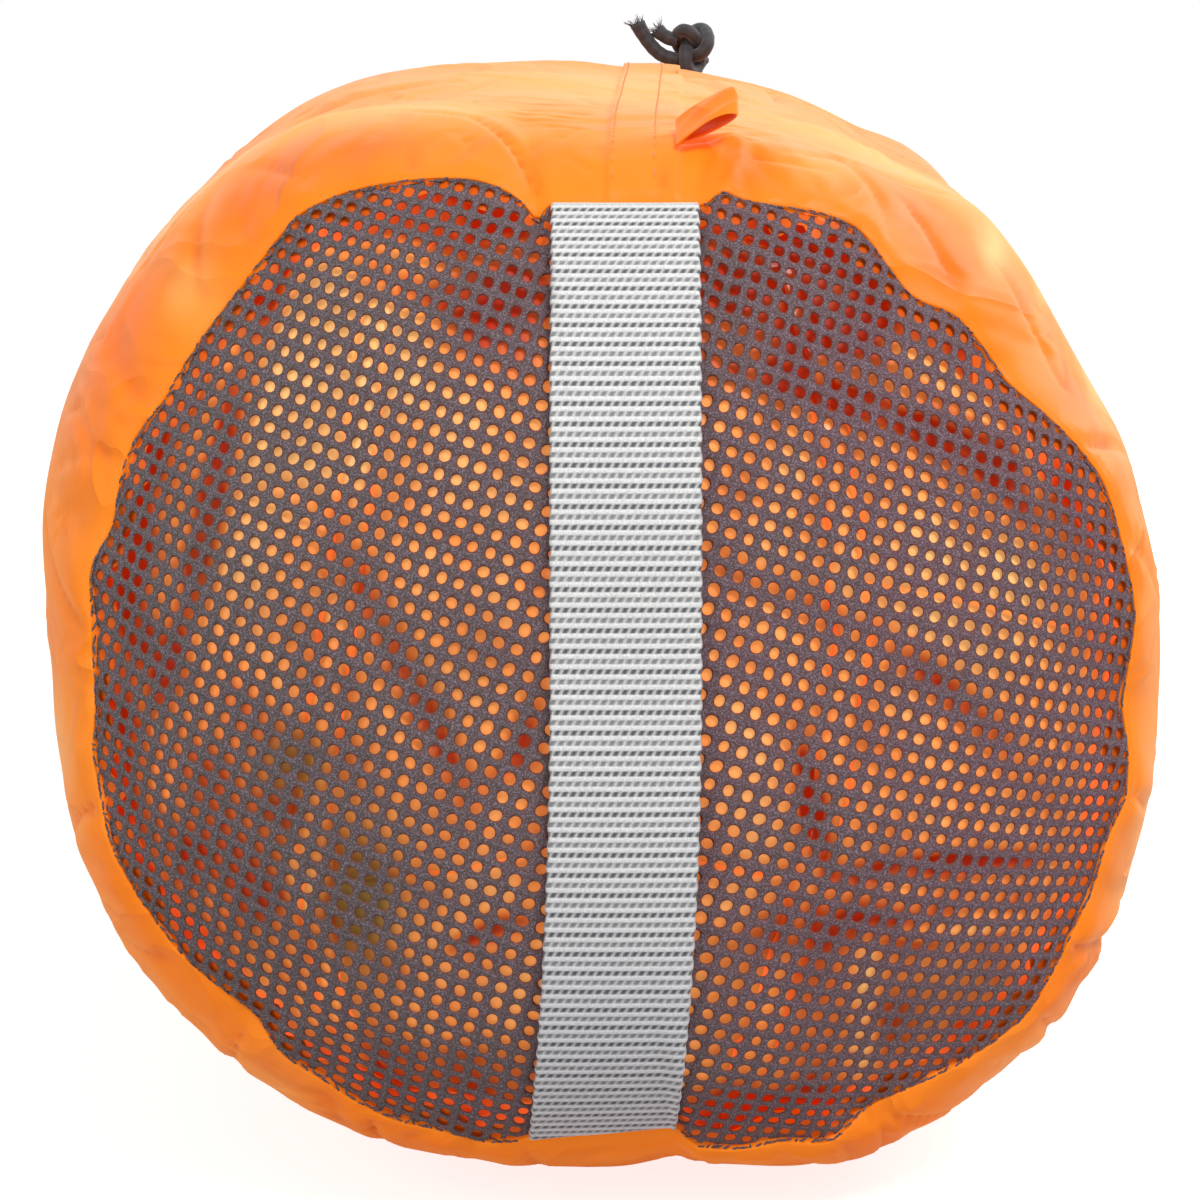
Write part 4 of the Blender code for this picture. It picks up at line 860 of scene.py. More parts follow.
# Painted shade (below 0) and painted light (above 0) on the wall: degrees, mm behind the front, reach in
# both, strength
WALL_LIGHT_AND_SHADE = (
    (130, 78, 17, 24, 0.9), (127, 40, 7, 11, -0.9), (115.5, 37, 5, 7, -0.7), (146, 46, 6, 13, -0.9),
    (139.6, 33, 4, 7, 0.5), (157, 50, 7, 18, -0.6), (108, 62, 9, 14, 0.5), (98, 34, 6, 7, -0.25),
    (57, 84, 16, 28, 0.9), (66, 40, 4, 9, 0.35), (54.5, 46, 4.5, 13, -0.8), (48, 33, 4, 7, -0.8),
    (45, 52, 1.8, 16, 0.9), (39, 47, 2.2, 15, -0.5), (34.7, 58, 2.2, 14, -0.6), (37, 68, 1.5, 16, 0.8),
    (28.4, 41, 4, 10, -0.9), (25, 66, 4, 12, 0.8), (-18, 48, 5, 16, 0.55), (-26, 52, 2, 16, 0.6),
    (-35.5, 44, 4, 14, -1.0), (-44, 40, 4, 12, 0.35), (-60.6, 42, 4, 12, -0.9), (74.8, 31, 3.4, 6, -0.8),
    (88, 150, 26, 70, 0.7), (178, 44, 4, 12, -0.6), (190, 44, 4, 12, 0.5), (205, 44, 5, 12, -0.4),
    (232, 40, 5, 12, 0.4), (250, 40, 6, 12, -0.7), (280, 40, 6, 10, -0.6), (15, 60, 4, 20, -0.3))
# Puckers at the seam: how many round the sack, height in mm, and reach behind the seam in mm
GATHERS = ((61, 0.30, 7.0), (37, 0.62, 12.0), (23, 0.85, 22.0), (13, 1.10, 36.0))


def lump_field(theta, s):
    """Broad lumps: cosines of whole waves round the sack and free waves along it."""
    total = np.zeros_like(theta)
    for _ in range(LUMPS):
        round_waves = wall_rng.integers(2, 13)
        along_waves = wall_rng.uniform(-1, 1) * 2 * math.pi / LUMP_WAVE
        total += wall_rng.uniform(0.2, 0.55) / round_waves**0.35 * np.cos(
            round_waves * theta + along_waves * s + wall_rng.uniform(0, 2 * math.pi))
    return total * LUMP_HEIGHT


def crease_field(theta, s, creases):
    """Valleys with low ridges beside them, along lines on the unrolled wall, fading at both ends."""
    total = np.zeros_like(theta)
    for angle_a, s_a, angle_b, s_b, width, depth in creases:
        middle = (angle_a + angle_b) / 2
        flat = np.radians(turn_from(theta, middle)) * CREASE_RADIUS
        start = (math.radians(angle_a - middle) * CREASE_RADIUS, s_a * MM)
        end = (math.radians(angle_b - middle) * CREASE_RADIUS, s_b * MM)
        near = np.abs(flat) < CREASE_REACH
        away, along = distance_to_line(flat[near], s[near], (start, end))
        away = away / (width * MM)
        fade = 0.35 + 0.65 * np.sin(np.clip(along, 0.02, 0.98) * math.pi) ** 0.7
        total[near] += CREASE_STRENGTH * depth * MM * fade * (0.6 * bell(away / 2.4) - np.exp(-1.4 * away))
    return total


def crease_rows(angle, s, length, heading, radius, width, depth):
    """Rows of the crease list, from places, lengths and headings in mm and radians at a radius in mm."""
    across = np.degrees(length * np.sin(heading) / radius)
    return np.stack([angle, s, angle + across, s + length * np.cos(heading), width, depth], axis=-1)


def random_creases():
    """Seeded creases: long ones over the side of the sack, mostly along it, and short ones at the seam."""
    angle = wall_rng.uniform(-180, 180, RANDOM_CREASES)
    s = wall_rng.uniform(60, 262, RANDOM_CREASES)
    length = wall_rng.uniform(14, 52, RANDOM_CREASES)
    heading = wall_rng.normal(0, 0.55, RANDOM_CREASES)
    heading = heading + np.where(wall_rng.random(RANDOM_CREASES) < 0.3, 1.2, 0)
    width = wall_rng.uniform(1.0, 3.8, RANDOM_CREASES)
    depth = width * wall_rng.uniform(0.22, 0.5, RANDOM_CREASES)
    long_ones = crease_rows(angle, s, length, heading, SIDE_CREASE_RADIUS, width, depth)
    angle = wall_rng.uniform(-180, 180, SHORT_CREASES)
    s = SEAM_S / MM + wall_rng.uniform(0.5, 26, SHORT_CREASES)
    length = wall_rng.uniform(5, 18, SHORT_CREASES)
    heading = wall_rng.normal(0, 0.45, SHORT_CREASES)
    width = wall_rng.uniform(0.6, 1.5, SHORT_CREASES)
    depth = width * wall_rng.uniform(0.25, 0.6, SHORT_CREASES)
    short_ones = crease_rows(angle, s, length, heading, SEAM_CREASE_RADIUS, width, depth)
    return np.vstack([long_ones, short_ones])


def uneven_turn(theta, seed):
    """A seeded wander round the sack, mostly less than a radian either way: five sine waves of theta."""
    lags = np.random.default_rng(seed).uniform(0, 2 * math.pi, 5)
    return sum(np.sin((k + 1) * theta * (1.0 + k // 2) + lag) for k, lag in enumerate(lags)) * 0.42


def gather_field(theta, s):
    """Puckers at the end seam on four scales: round ridges between sharp valleys, each fading with s."""
    total = np.zeros_like(theta)
    behind = np.clip(s - SEAM_S, 0, None)
    for number, (count, height, fade) in enumerate(GATHERS):
        phase = count * theta / 2 + 2.2 * uneven_turn(theta, 20 + number) + behind / (30 * MM)
        ridge = np.abs(np.sin(phase)) ** 0.7 - 0.66
        strength = np.clip(0.55 + 0.6 * uneven_turn(theta, 40 + number), 0.08, 1.3)
        start = ease((behind + 1.5 * MM) / (3 * MM))
        total += ridge * height * strength * start * bell(behind / (fade * MM))
    return total * MM


def pleat_field(theta, s):
    """The drawn mouth's pleats: sharp-crested waves round the neck that grow as the wall draws in."""
    uneven = theta + 0.10 * np.sin(3 * theta + 0.8) + 0.05 * np.sin(7 * theta)
    wave = 1 - 2 * np.abs(np.sin(9 * uneven)) ** 0.75
    second = 1 - 2 * np.abs(np.sin(14.5 * uneven + 0.6)) ** 0.8
    rise = ease((s - 232 * MM) / (60 * MM))
    late = ease((s - 262 * MM) / (34 * MM))
    return (wave * 1.5 * rise + second * 0.9 * late) * MM


# %% [markdown]
# ## The sack wall
#
# The wall is one grid: columns run round the sack, rows run from the turned-in edge at the end seam, over
# the shoulder and back to the mouth. Eleven columns keep to the lapped side seam, so that the lap has a
# crisp step. The relief is added along the grid's own normals, and what would sink into the ground is
# pressed flat on it.

# %% Sack wall
LAP_WIDTH, LAP_STEP = 11.5 * MM, 0.8 * MM
LAP_FRONT_X, LAP_REAR_X = 4.9 * MM, 9.5 * MM
LAP_SHARES = np.array([0, 0.04, 0.18, 0.33, 0.5, 0.66, 0.8, 0.94, 1.0])
LAP_EDGE, LAP_EDGE_TURN = 0.35 * MM / (95 * MM), 0.0035
LAP_MIDDLE, LAP_REACH = 87, 5.0
WALL_COLUMNS, SHOULDER_ROWS, SIDE_ROWS, REAR_ROWS = 506, 52, 62, 66
# Rows of the turned-in edge: radius and way behind the seam, in mm; the first three lie behind the mesh
LIP_PROFILE = np.array([
    (-3.6, 0.9), (-2.2, 0.85), (-0.9, 0.8), (-0.1, 0.6), (0.0, 0.26), (0.12, 0.06), (0.32, 0.0), (0.7, 0.02)])
LIP_ROWS, HIDDEN_ROWS = len(LIP_PROFILE), 3
ALLOWANCE_BEHIND = 0.85 * MM
NECK_STEPS = np.array([0.3, 0.6, 1.0])
GROUND_RIPPLE, GROUND_WAVE = 0.2 * MM, 5 * MM
# Painted shade on the hidden edge, and how strong the painted shade in creases is
HIDDEN_SHADE, PAINTED_CREASE_SHADE = 1.1, 0.75


def lap_angles(s):
    """The angles of the lapped side seam's edges at s."""
    middle = LAP_FRONT_X + (LAP_REAR_X - LAP_FRONT_X) * np.clip(s / REAR_S, 0, 1)
    reach = np.maximum(sack_radius(np.full_like(s, math.pi / 2), s), 70 * MM)
    return math.pi / 2 - (middle + LAP_WIDTH / 2) / reach, math.pi / 2 - (middle - LAP_WIDTH / 2) / reach


def wall_angles(s_rows):
    """Column angles for each row: eleven across the lap and its edges, the rest spread evenly."""
    low, high = lap_angles(s_rows)
    laps = low[:, None] + (high - low)[:, None] * LAP_SHARES
    laps = np.concatenate([(low - LAP_EDGE)[:, None], laps, (high + LAP_EDGE)[:, None]], axis=1)
    count = WALL_COLUMNS - laps.shape[1]
    first, last = laps[:, -1:], laps[:, :1] + 2 * math.pi
    rest = first + (last - first) * (np.arange(1, count + 1) / (count + 1))
    return np.concatenate([laps, rest], axis=1)


def wall_rows():
    """(extra radius, s) of each row from the turned-in edge to the mouth."""
    lip = LIP_PROFILE * MM
    shoulder = SEAM_S + SHOULDER_LENGTH * np.linspace(0.17, 1.0, SHOULDER_ROWS) ** 2
    side = np.linspace(SEAM_S + SHOULDER_LENGTH, REAR_S, SIDE_ROWS)[1:]
    rear = REAR_S + (MOUTH_S - REAR_S) * (1 - np.linspace(1, 0, REAR_ROWS)[1:] ** 1.6)
    s = np.concatenate([lip[:, 1] + SEAM_S, shoulder, side, rear])
    return np.concatenate([lip[:, 0], np.zeros(len(s) - LIP_ROWS)]), s


def wall_base():
    """The wall without its relief: points, theta and s, with the hidden edge on the dome and a short neck."""
    extra, s_rows = wall_rows()
    theta = wall_angles(s_rows)
    s = np.repeat(s_rows[:, None], WALL_COLUMNS, axis=1)
    on_lip = (np.arange(len(s_rows)) < LIP_ROWS)[:, None]
    radius = np.where(on_lip, seam_radius(theta) + extra[:, None], sack_radius(theta, s))
    low, high = lap_angles(s_rows)
    lapped = ease((theta - low[:, None]) / LAP_EDGE_TURN + 1)
    lapped = lapped * ease((high[:, None] - theta) / LAP_EDGE_TURN + 1)
    base = place(radius + np.where(on_lip, 0.0, LAP_STEP) * lapped, theta, s, lowest=-1.0)
    hidden = theta[:HIDDEN_ROWS]
    jag = 1 + 0.35 * np.sin(47 * hidden + 3 * np.sin(11 * hidden))
    inner = seam_radius(hidden) + extra[:HIDDEN_ROWS, None] * jag
    base[:HIDDEN_ROWS] = dome(inner * np.cos(hidden), inner * np.sin(hidden))
    base[:HIDDEN_ROWS, :, 1] += ALLOWANCE_BEHIND
    neck = base[-1][None] + NECK_STEPS[:, None, None] * np.array([0, NECK_LENGTH, 0])
    theta = np.concatenate([theta, np.repeat(theta[-1:], len(NECK_STEPS), axis=0)])
    s = np.concatenate([s, s[-1:] + NECK_STEPS[:, None] * NECK_LENGTH])
    return np.concatenate([base, neck]), theta, s


def wall_surface():
    """Points and normals of the wall, s, and the painted crease shade and the painted light and shade at each
    point.
    """
    base, theta, s = wall_base()
    normal = grid_normals(base)
    behind = s - SEAM_S
    creases = crease_field(theta, s, np.vstack([SEEN_CREASES, random_creases()]))
    lumps = lump_field(theta, s) * ease(behind / (40 * MM))
    lumps = lumps * (1 - 0.7 * ease((s - 240 * MM) / (50 * MM)))
    gathers = gather_field(theta, s)
    relief = creases + lumps + gathers + pleat_field(theta, s)
    relief = relief * (np.arange(len(s)) > HIDDEN_ROWS)[:, None] * ease((behind + 0.4 * MM) / (3.4 * MM))
    on_lap = bell(turn_from(theta, LAP_MIDDLE) / LAP_REACH) * ease((s - 30 * MM) / (20 * MM))
    points = base + normal * (relief * (1 - 0.75 * on_lap))[..., None]
    points[..., 2] = np.maximum(points[..., 2], GROUND_RIPPLE * (1 + np.sin(s / GROUND_WAVE)))
    # Painted shade where the creases and gathers sink in
    depth = np.clip(-(creases + gathers) / (1.3 * MM), 0, 1) * ease((behind - 0.3 * MM) / (3 * MM))
    depth[:HIDDEN_ROWS] = HIDDEN_SHADE
    return points, normal, s, depth * PAINTED_CREASE_SHADE, np.clip(soft_ovals(theta, s, WALL_LIGHT_AND_SHADE), -1, 1)


wall_points, wall_normals, wall_s, wall_crease_shade, wall_painted_light = wall_surface()
rows, columns = wall_points.shape[:2]
sack_wall = add_piece(
    "sack_cloth", wall_points, grid_faces(rows, columns, closed=True, flip=True), SACK_NYLON,
    "sack", ("sack_wall",), {"crease": wall_crease_shade, "pale": wall_painted_light})

# %% [markdown]
# ## Stitches on the lap
#
# The side seam is lapped and sewn with two rows of thread. A stitch is a small grain: a stretched ball
# that lies half sunk in the cloth. All stitches are one mesh, made by copying one grain along the rows
# with arrays of places and directions, so no loop runs over them.

# %% Side seam stitches
STITCH_PITCH, STITCH_LENGTH, STITCH_WIDE = 3.1 * MM, 2.0 * MM, 0.34 * MM
STITCH_FROM, STITCH_TO, STITCH_AHEAD, STITCH_RISE = 29 * MM, 262 * MM, 1.5 * MM, 0.05 * MM
THREAD_STRAND = 0.5
LAP_COLUMNS = (4, 8)
GRAIN_SIDES, GRAIN_RINGS = 6, 3


def on_wall(column, s):
    """Points and normals of the finished wall along one of its columns, at given places along the sack."""
    along = wall_s[LIP_ROWS:, 0]
    point, normal = (np.stack([np.interp(s, along, grid[LIP_ROWS:, column, k]) for k in range(3)], -1)
                     for grid in (wall_points, wall_normals))
    return point, unit(normal)


def grain():
    """A small ball of triangles: three rings of six points between its poles."""
    fall = np.linspace(0, math.pi, GRAIN_RINGS + 2)[1:-1, None]
    turn = np.linspace(0, 2 * math.pi, GRAIN_SIDES, endpoint=False)
    ring = np.stack([np.sin(fall) * np.cos(turn), np.sin(fall) * np.sin(turn),
                     np.repeat(np.cos(fall), GRAIN_SIDES, axis=1)], -1).reshape(-1, 3)
    points = np.vstack([[0, 0, 1], ring, [0, 0, -1]])
    j, k = round_ring(GRAIN_SIDES)
    last = len(points) - 1
    top = np.stack([np.zeros(GRAIN_SIDES, int), j + 1, k + 1], -1)
    bottom = np.stack([np.full(GRAIN_SIDES, last), last - GRAIN_SIDES + k, last - GRAIN_SIDES + j], -1)
    sides = grid_faces(GRAIN_RINGS, GRAIN_SIDES, closed=True, start=1, flip=True)
    return points, np.vstack([top, bottom, sides[:, :3], sides[:, [0, 2, 3]]])


def grains_along(middle, along, normal, length, width):
    """Copies of the grain: its long axis along the thread, its short ones across and out of the cloth."""
    points, faces = grain()
    axes = (np.cross(along, normal) * width, normal * width, along * length)
    made = middle[:, None] + sum(points[None, :, k:k + 1] * axis[:, None] / 2 for k, axis in enumerate(axes))
    steps = len(points) * np.arange(len(middle))[:, None, None]
    return made.reshape(-1, 3), (faces[None] + steps).reshape(-1, 3)


def seam_stitches():
    """Places, directions and normals of the stitches in both rows."""
    s = np.arange(STITCH_FROM, STITCH_TO, STITCH_PITCH)
    rows_of = []
    for column in LAP_COLUMNS:
        point, normal = on_wall(column, s)
        ahead, _ = on_wall(column, s + STITCH_AHEAD)
        rows_of.append((point + normal * STITCH_RISE, unit(ahead - point), normal))
    return [np.concatenate(parts) for parts in zip(*rows_of)]


points, faces = grains_along(*seam_stitches(), STITCH_LENGTH, STITCH_WIDE)
add_piece("side_seam_thread", points, faces, THREAD, "sack", (),
          {"strand": np.full(len(points), THREAD_STRAND)})

# %% [markdown]
# ## The mesh end
#
# The knit is a square lattice of round holes, 3.3 mm apart and about 2 mm wide, turned about eighteen
# degrees. Each cell of the lattice is a square with a round hole: twelve points round the hole, twelve
# round the square and twelve between them. The points on the square stand out to the front and to the
# back and those at the hole lie between, so the web between holes has the section of a lens, like a soft
# yarn. The flat cloth is laid on the dome by arc length, which keeps the holes equally large up to the
# rim, and past the seam it runs on inside the wall.

# %% Mesh cloth
CELL = 3.32 * MM
HOLE = 1.0 * MM
CELL_POINTS = 12
YARN_HALF, YARN_DEEPER = 0.24 * MM, 0.1 * MM
LATTICE_TURN = -18.5
TUCK_LENGTH = 4.4 * MM
FLAT_REACH, FLAT_RADIUS = 118 * MM, 87 * MM
GATHER_IN = 0.035
RIM_GAP = 0.12 * MM
STRAP_WIDTH, STRAP_T = 25.0 * MM, 1.5 * MM
STRAP_X, STRAP_LEAN = 2.6 * MM, 3.9 * MM
STRAP_PRESS, EDGE_BEND = 2.3 * MM, 1.5 * MM
SHOULDER_SHARE = 0.34
HOLE_WANDER = 0.05 * MM
# How far the rings at the hole, at the shoulder and on the square stand out, as shares of half a yarn
RING_RISES = np.array([0.0, 0.9, 0.96])
# The fold beside the strap's top, as pixels of the photograph's frame
MESH_FOLD = ((735, 232), (722, 300), (730, 360))


def square_ring(turn):
    """Points round a square of half width 1, at the given angles."""
    ring = np.stack([np.cos(turn), np.sin(turn)], -1)
    return ring / np.abs(ring).max(axis=1, keepdims=True)


def flat_lattice():
    """Flat places of the cells' points: hole, shoulder and square rings for every cell near the outline."""
    reach = int(FLAT_REACH / CELL)
    a, b = np.meshgrid(np.arange(-reach, reach + 1), np.arange(-reach, reach + 1))
    centres = np.stack([a.ravel(), b.ravel()], -1) * CELL
    turn = 2 * math.pi * (np.arange(CELL_POINTS) + 0.5) / CELL_POINTS
    rng = np.random.default_rng(3)
    size = 1 + rng.normal(0, 0.05, (len(centres), 1))
    oval = 1 + 0.07 * np.cos(2 * (turn[None] - rng.uniform(0, math.pi, (len(centres), 1))))
    hole = (HOLE * size * oval)[..., None] * np.stack([np.cos(turn), np.sin(turn)], -1)
    hole = hole + rng.normal(0, HOLE_WANDER, (len(centres), 1, 2))
    square = np.broadcast_to(square_ring(turn) * CELL / 2, hole.shape)
    shoulder = hole + (square - hole) * SHOULDER_SHARE
    flat = centres[:, None, None] + np.stack([hole, shoulder, square], axis=1)
    x, q = flat[..., 0], flat[..., 1]
    x = x + 0.9 * MM * np.sin(q / (19 * MM) + 0.6) + 0.5 * MM * np.sin(x / (11 * MM) + q / (27 * MM))
    q = q + 0.8 * MM * np.sin(x / (23 * MM) + 2.0) + 0.4 * MM * np.sin(q / (9 * MM) - x / (31 * MM))
    angle = math.radians(LATTICE_TURN) + 0.055 * np.tanh(x / (60 * MM))
    return x * np.cos(angle) - q * np.sin(angle), x * np.sin(angle) + q * np.cos(angle)


def arc_to_radius(arc):
    """The distance from the axis at a length on the flat cloth, which is drawn in by 3.5 % near the seam."""
    arc = arc * (1 - GATHER_IN * (arc / FLAT_RADIUS) ** 2)
    share = np.linspace(0, 1.25, 400)
    slope = DOME_HEIGHT * DOME_POWER * share ** (DOME_POWER - 1)
    step = np.hypot(FLAT_RADIUS, slope)
    length = np.concatenate([[0], np.cumsum((step[1:] + step[:-1]) / 2 * np.diff(share))])
    return np.interp(arc, length, share * FLAT_RADIUS)


def strap_middle_x(q):
    """Where the middle of the tape lies at a height: a little to the left below the axis."""
    return STRAP_X - STRAP_LEAN * np.clip(-q / (80 * MM), 0, 1) ** 2


def mesh_waves(x, q):
    """Relief of the mesh in metres: slow waves, a fold beside the strap's top and puckers at the seam."""
    theta = np.arctan2(q, x)
    share = of_the_seam(x, q)
    slow = 0.5 * np.sin(x / (13 * MM) + 1.0) * np.sin(q / (17 * MM) + 0.4) + 0.35 * np.sin((x + q) / (9 * MM))
    pucker = 0.45 * np.sin(16 * theta + 2 * uneven_turn(theta, 7)) * ease((share - 0.86) / 0.14)
    away, _ = distance_to_line(x, q, np.stack(on_dome(MESH_FOLD), -1))
    fold = -1.5 * bell(away / (2.8 * MM)) + 0.7 * bell(away / (6.5 * MM))
    waves = (slow - 0.2) * ease((1 - share) / 0.25) + pucker + fold * ease((1 - share) / 0.1)
    under = ease((STRAP_WIDTH / 2 + 4 * MM - np.abs(x - strap_middle_x(q))) / (3 * MM))
    return (waves * (1 - under) + np.minimum(waves, -0.1) * under) * MM


def strap_beside(x, q):
    """1 where the strap's sewn ends cross the seam and press the mesh in, 0 elsewhere."""
    return ease((STRAP_WIDTH / 2 - 0.4 * MM - np.abs(x - strap_middle_x(q))) / (0.8 * MM))


def mesh_cloth(side):
    """One half of the lattice on the dome, turned back inside the wall past the seam, with both skins."""
    flat_x, flat_q = flat_lattice()
    arc = np.hypot(flat_x, flat_q)
    radius = arc_to_radius(arc)
    scale = radius / np.maximum(arc, 1e-9)
    x, q = flat_x * scale, flat_q * scale
    theta = np.arctan2(q, x)
    limit = seam_radius(theta) - RIM_GAP - STRAP_PRESS * strap_beside(x, q)
    over = radius - limit
    keep = (over.max(axis=(1, 2)) < TUCK_LENGTH) & ((x.mean(axis=(1, 2)) > STRAP_X) == (side > 0))
    x, q, theta, limit, over = (value[keep] for value in (x, q, theta, limit, over))
    inner = np.minimum(1.0, limit / np.hypot(x, q).clip(1e-6))
    x, q = x * inner, q * inner
    normal = dome_normal(x, q)
    past = np.clip(over, 0, None)
    bend = ease(past / EDGE_BEND)[..., None]
    inward = np.stack([-np.cos(theta), np.zeros_like(theta), -np.sin(theta)], -1)
    points = dome(x, q) + np.array([0, 1.0, 0]) * past[..., None]
    points = points + normal * mesh_waves(x, q)[..., None] * (1 - bend)
    normal = unit(normal * (1 - bend) + inward * bend)
    middle = points - normal * (YARN_HALF + YARN_DEEPER)
    front = middle + normal * RING_RISES[None, :, None, None] * YARN_HALF
    back = middle[:, 2] - normal[:, 2] * YARN_HALF
    return np.concatenate([front.reshape(len(front), -1, 3), back], axis=1), keep.sum()


def cell_faces(cells):
    """Faces of every cell: quads from the hole's ring over its shoulder to the square's, and back behind."""
    j, k = round_ring(CELL_POINTS)
    quads = []
    for inner, outer, behind in ((0, 1, False), (1, 2, False), (0, 3, True)):
        a, b = inner * CELL_POINTS, outer * CELL_POINTS
        quad = np.stack([a + j, b + j, b + k, a + k], -1)
        quads.append(quad[:, ::-1] if behind else quad)
    return (np.vstack(quads)[None] + 4 * CELL_POINTS * np.arange(cells)[:, None, None]).reshape(-1, 4)


for side, hand in ((-1, "left"), (1, "right")):
    cloth, cells = mesh_cloth(side)
    # How much painted orange bounce light each ring of a cell gets
    hole_bounce_light = np.tile(np.repeat([1.0, 0.4, 0.0, 0.0], CELL_POINTS), cells)
    add_piece(f"mesh_cloth_{hand}", cloth, cell_faces(cells), MESH_YARN, "sack",
              ("mesh_end",), {"groove": hole_bounce_light})
    print("this half of the knit has", cells, "holes")

# %% [markdown]
# ## Loose yarn along the seam
#
# Where the knit was cut and sewn, its yarn ends stick out past the fold of the wall. They are short dark
# grains laid along the seam, each at its own small angle, made with the same copies as the stitches.

# %% Yarn ends at the seam
EDGE_YARNS, EDGE_YARN_RISE = 430, 0.04 * MM
EDGE_LENGTH, EDGE_WIDE = 1.9 * MM, 0.42 * MM


def edge_yarns():
    """Places, directions and normals of the yarn ends: tangent cos a + radial sin a at the seam."""
    rng = np.random.default_rng(17)
    theta = 2 * math.pi * (np.arange(EDGE_YARNS) + rng.uniform(-0.4, 0.4, EDGE_YARNS)) / EDGE_YARNS
    radius = seam_radius(theta) + rng.uniform(-0.45, 0.2, EDGE_YARNS) * MM
    x, q = radius * np.cos(theta), radius * np.sin(theta)
    clear = np.abs(x - strap_middle_x(q)) > STRAP_WIDTH / 2 + 1.0 * MM
    x, q, theta = x[clear], q[clear], theta[clear]
    normal = dome_normal(x, q)
    tangent = np.stack([-np.sin(theta), np.zeros_like(theta), np.cos(theta)], -1)
    radial = np.stack([np.cos(theta), np.zeros_like(theta), np.sin(theta)], -1)
    along = turned(rng.normal(0, 0.55, len(x)), tangent, radial)
    along = unit(along - normal * (along * normal).sum(axis=1, keepdims=True))
    return dome(x, q) + normal * EDGE_YARN_RISE, along, normal


points, faces = grains_along(*edge_yarns(), EDGE_LENGTH, EDGE_WIDE)
add_piece("mesh_edge_yarn", points, faces, MESH_YARN, "sack", (),
          {"groove": np.zeros(len(points))})

# %% [markdown]
# ## The webbing handle
#
# The tape is woven with ribs across it. It hugs the dome, and at both ends it turns in between the mesh
# and the wall, where the seam holds it. Its face is a grid that follows the tape by arc length, so all
# ribs are equally far apart, and each rib is broken into little waves by the threads that run along it.

# %% Webbing
RIB_PITCH = 1.68 * MM
WARP_COLUMNS = 18
ROWS_PER_RIB = 8
FACE_COLUMNS = 91
LIP_DEPTH, GAP = 7.0 * MM, 0.4 * MM
STRAP_CLEAR, STRAP_BEND = 0.25 * MM, 1.6 * MM
FACE_DROP, SELVEDGE_WAVE = 0.15 * MM, 0.12 * MM
UNDER_COLUMNS = 9
SELVEDGE_FROM, FACE_ROUND, BACK_ROUND = 0.93, 0.965, 0.9
SEAM_STEPS = 10
# Heights that the tape's rows are looked up from, every tenth of a millimetre
FINE_HEIGHTS = np.linspace(-95, 95, 1901) * MM


def seam_height(x, sign, inset):
    """How far above (1) or below (-1) the axis the seam runs at x, less an inset, by repeated lookup."""
    height = np.full_like(x, FLAT_RADIUS)
    for _ in range(SEAM_STEPS):
        height = np.sqrt((seam_radius(np.arctan2(sign * height, x)) - inset) ** 2 - x**2)
    return height


def strap_rows():
    """Heights of the tape's rows, evenly spaced along it by arc length, from its lower end to its upper."""
    reach = reach_along(dome(strap_middle_x(FINE_HEIGHTS), FINE_HEIGHTS))
    top = seam_height(np.array([STRAP_X]), 1, 0.0)[0] + LIP_DEPTH
    bottom = -seam_height(np.array([STRAP_X]), -1, 0.0)[0] - LIP_DEPTH
    low, high = np.interp([bottom, top], FINE_HEIGHTS, reach)
    ribs = int((high - low) / RIB_PITCH)
    wanted = np.linspace(low, low + ribs * RIB_PITCH, ribs * ROWS_PER_RIB + 1)
    return np.interp(wanted, reach, FINE_HEIGHTS), ribs


def strap_line(across, q):
    """Middle layer of the tape: on the dome, and past the seam turned back inside the wall."""
    x = strap_middle_x(q)[:, None] + across[None] * STRAP_WIDTH / 2
    q = np.broadcast_to(q[:, None], x.shape)
    inset = RIM_GAP + STRAP_T / 2 + STRAP_CLEAR
    top, bottom = seam_height(x, 1, inset), -seam_height(x, -1, inset)
    inner = np.clip(q, bottom, top)
    past = np.abs(q - inner)
    normal = dome_normal(np.broadcast_to(strap_middle_x(q), x.shape), inner)
    normal = unit(normal * np.array([0, 1.0, 1.0]))
    points = dome(x, inner) + normal * (GAP + STRAP_T / 2) + np.array([0, 1.0, 0]) * past[..., None]
    upright = np.zeros_like(points)
    upright[..., 2] = np.sign(q)
    bend = ease(past / STRAP_BEND)[..., None]
    return points, unit(normal * (1 - bend) + upright * bend)


def strap_weave(u, v):
    """(height, groove) of the weave: white bars, and between them rows of short dashes, offset row by row;
    groove is painted shade between the bars.
    """
    row = np.floor(u)
    within = u - row
    bar = ease((within - 0.02) / 0.14) * ease((0.64 - within) / 0.14)
    dash = 0.5 + 0.5 * np.cos(2 * math.pi * (v + 0.5 * (row % 2) + 0.22 * np.sin(math.pi * within)))
    height = 0.18 * bar + 0.07 * (1 - bar) * dash + 0.02 * bar * dash
    # Painted shade between the bars
    groove = (1 - bar) * (1 - 0.72 * dash**2.2) * (0.8 + 0.2 * (row % 2))
    return height * MM, groove


def rounded(across, start):
    """1 in the middle of the tape, falling as a quarter circle from a start to its edges at 1 and -1."""
    return np.sqrt(np.clip(1 - ((np.abs(across) - start) / (1 - start)).clip(0) ** 2, 0, 1))


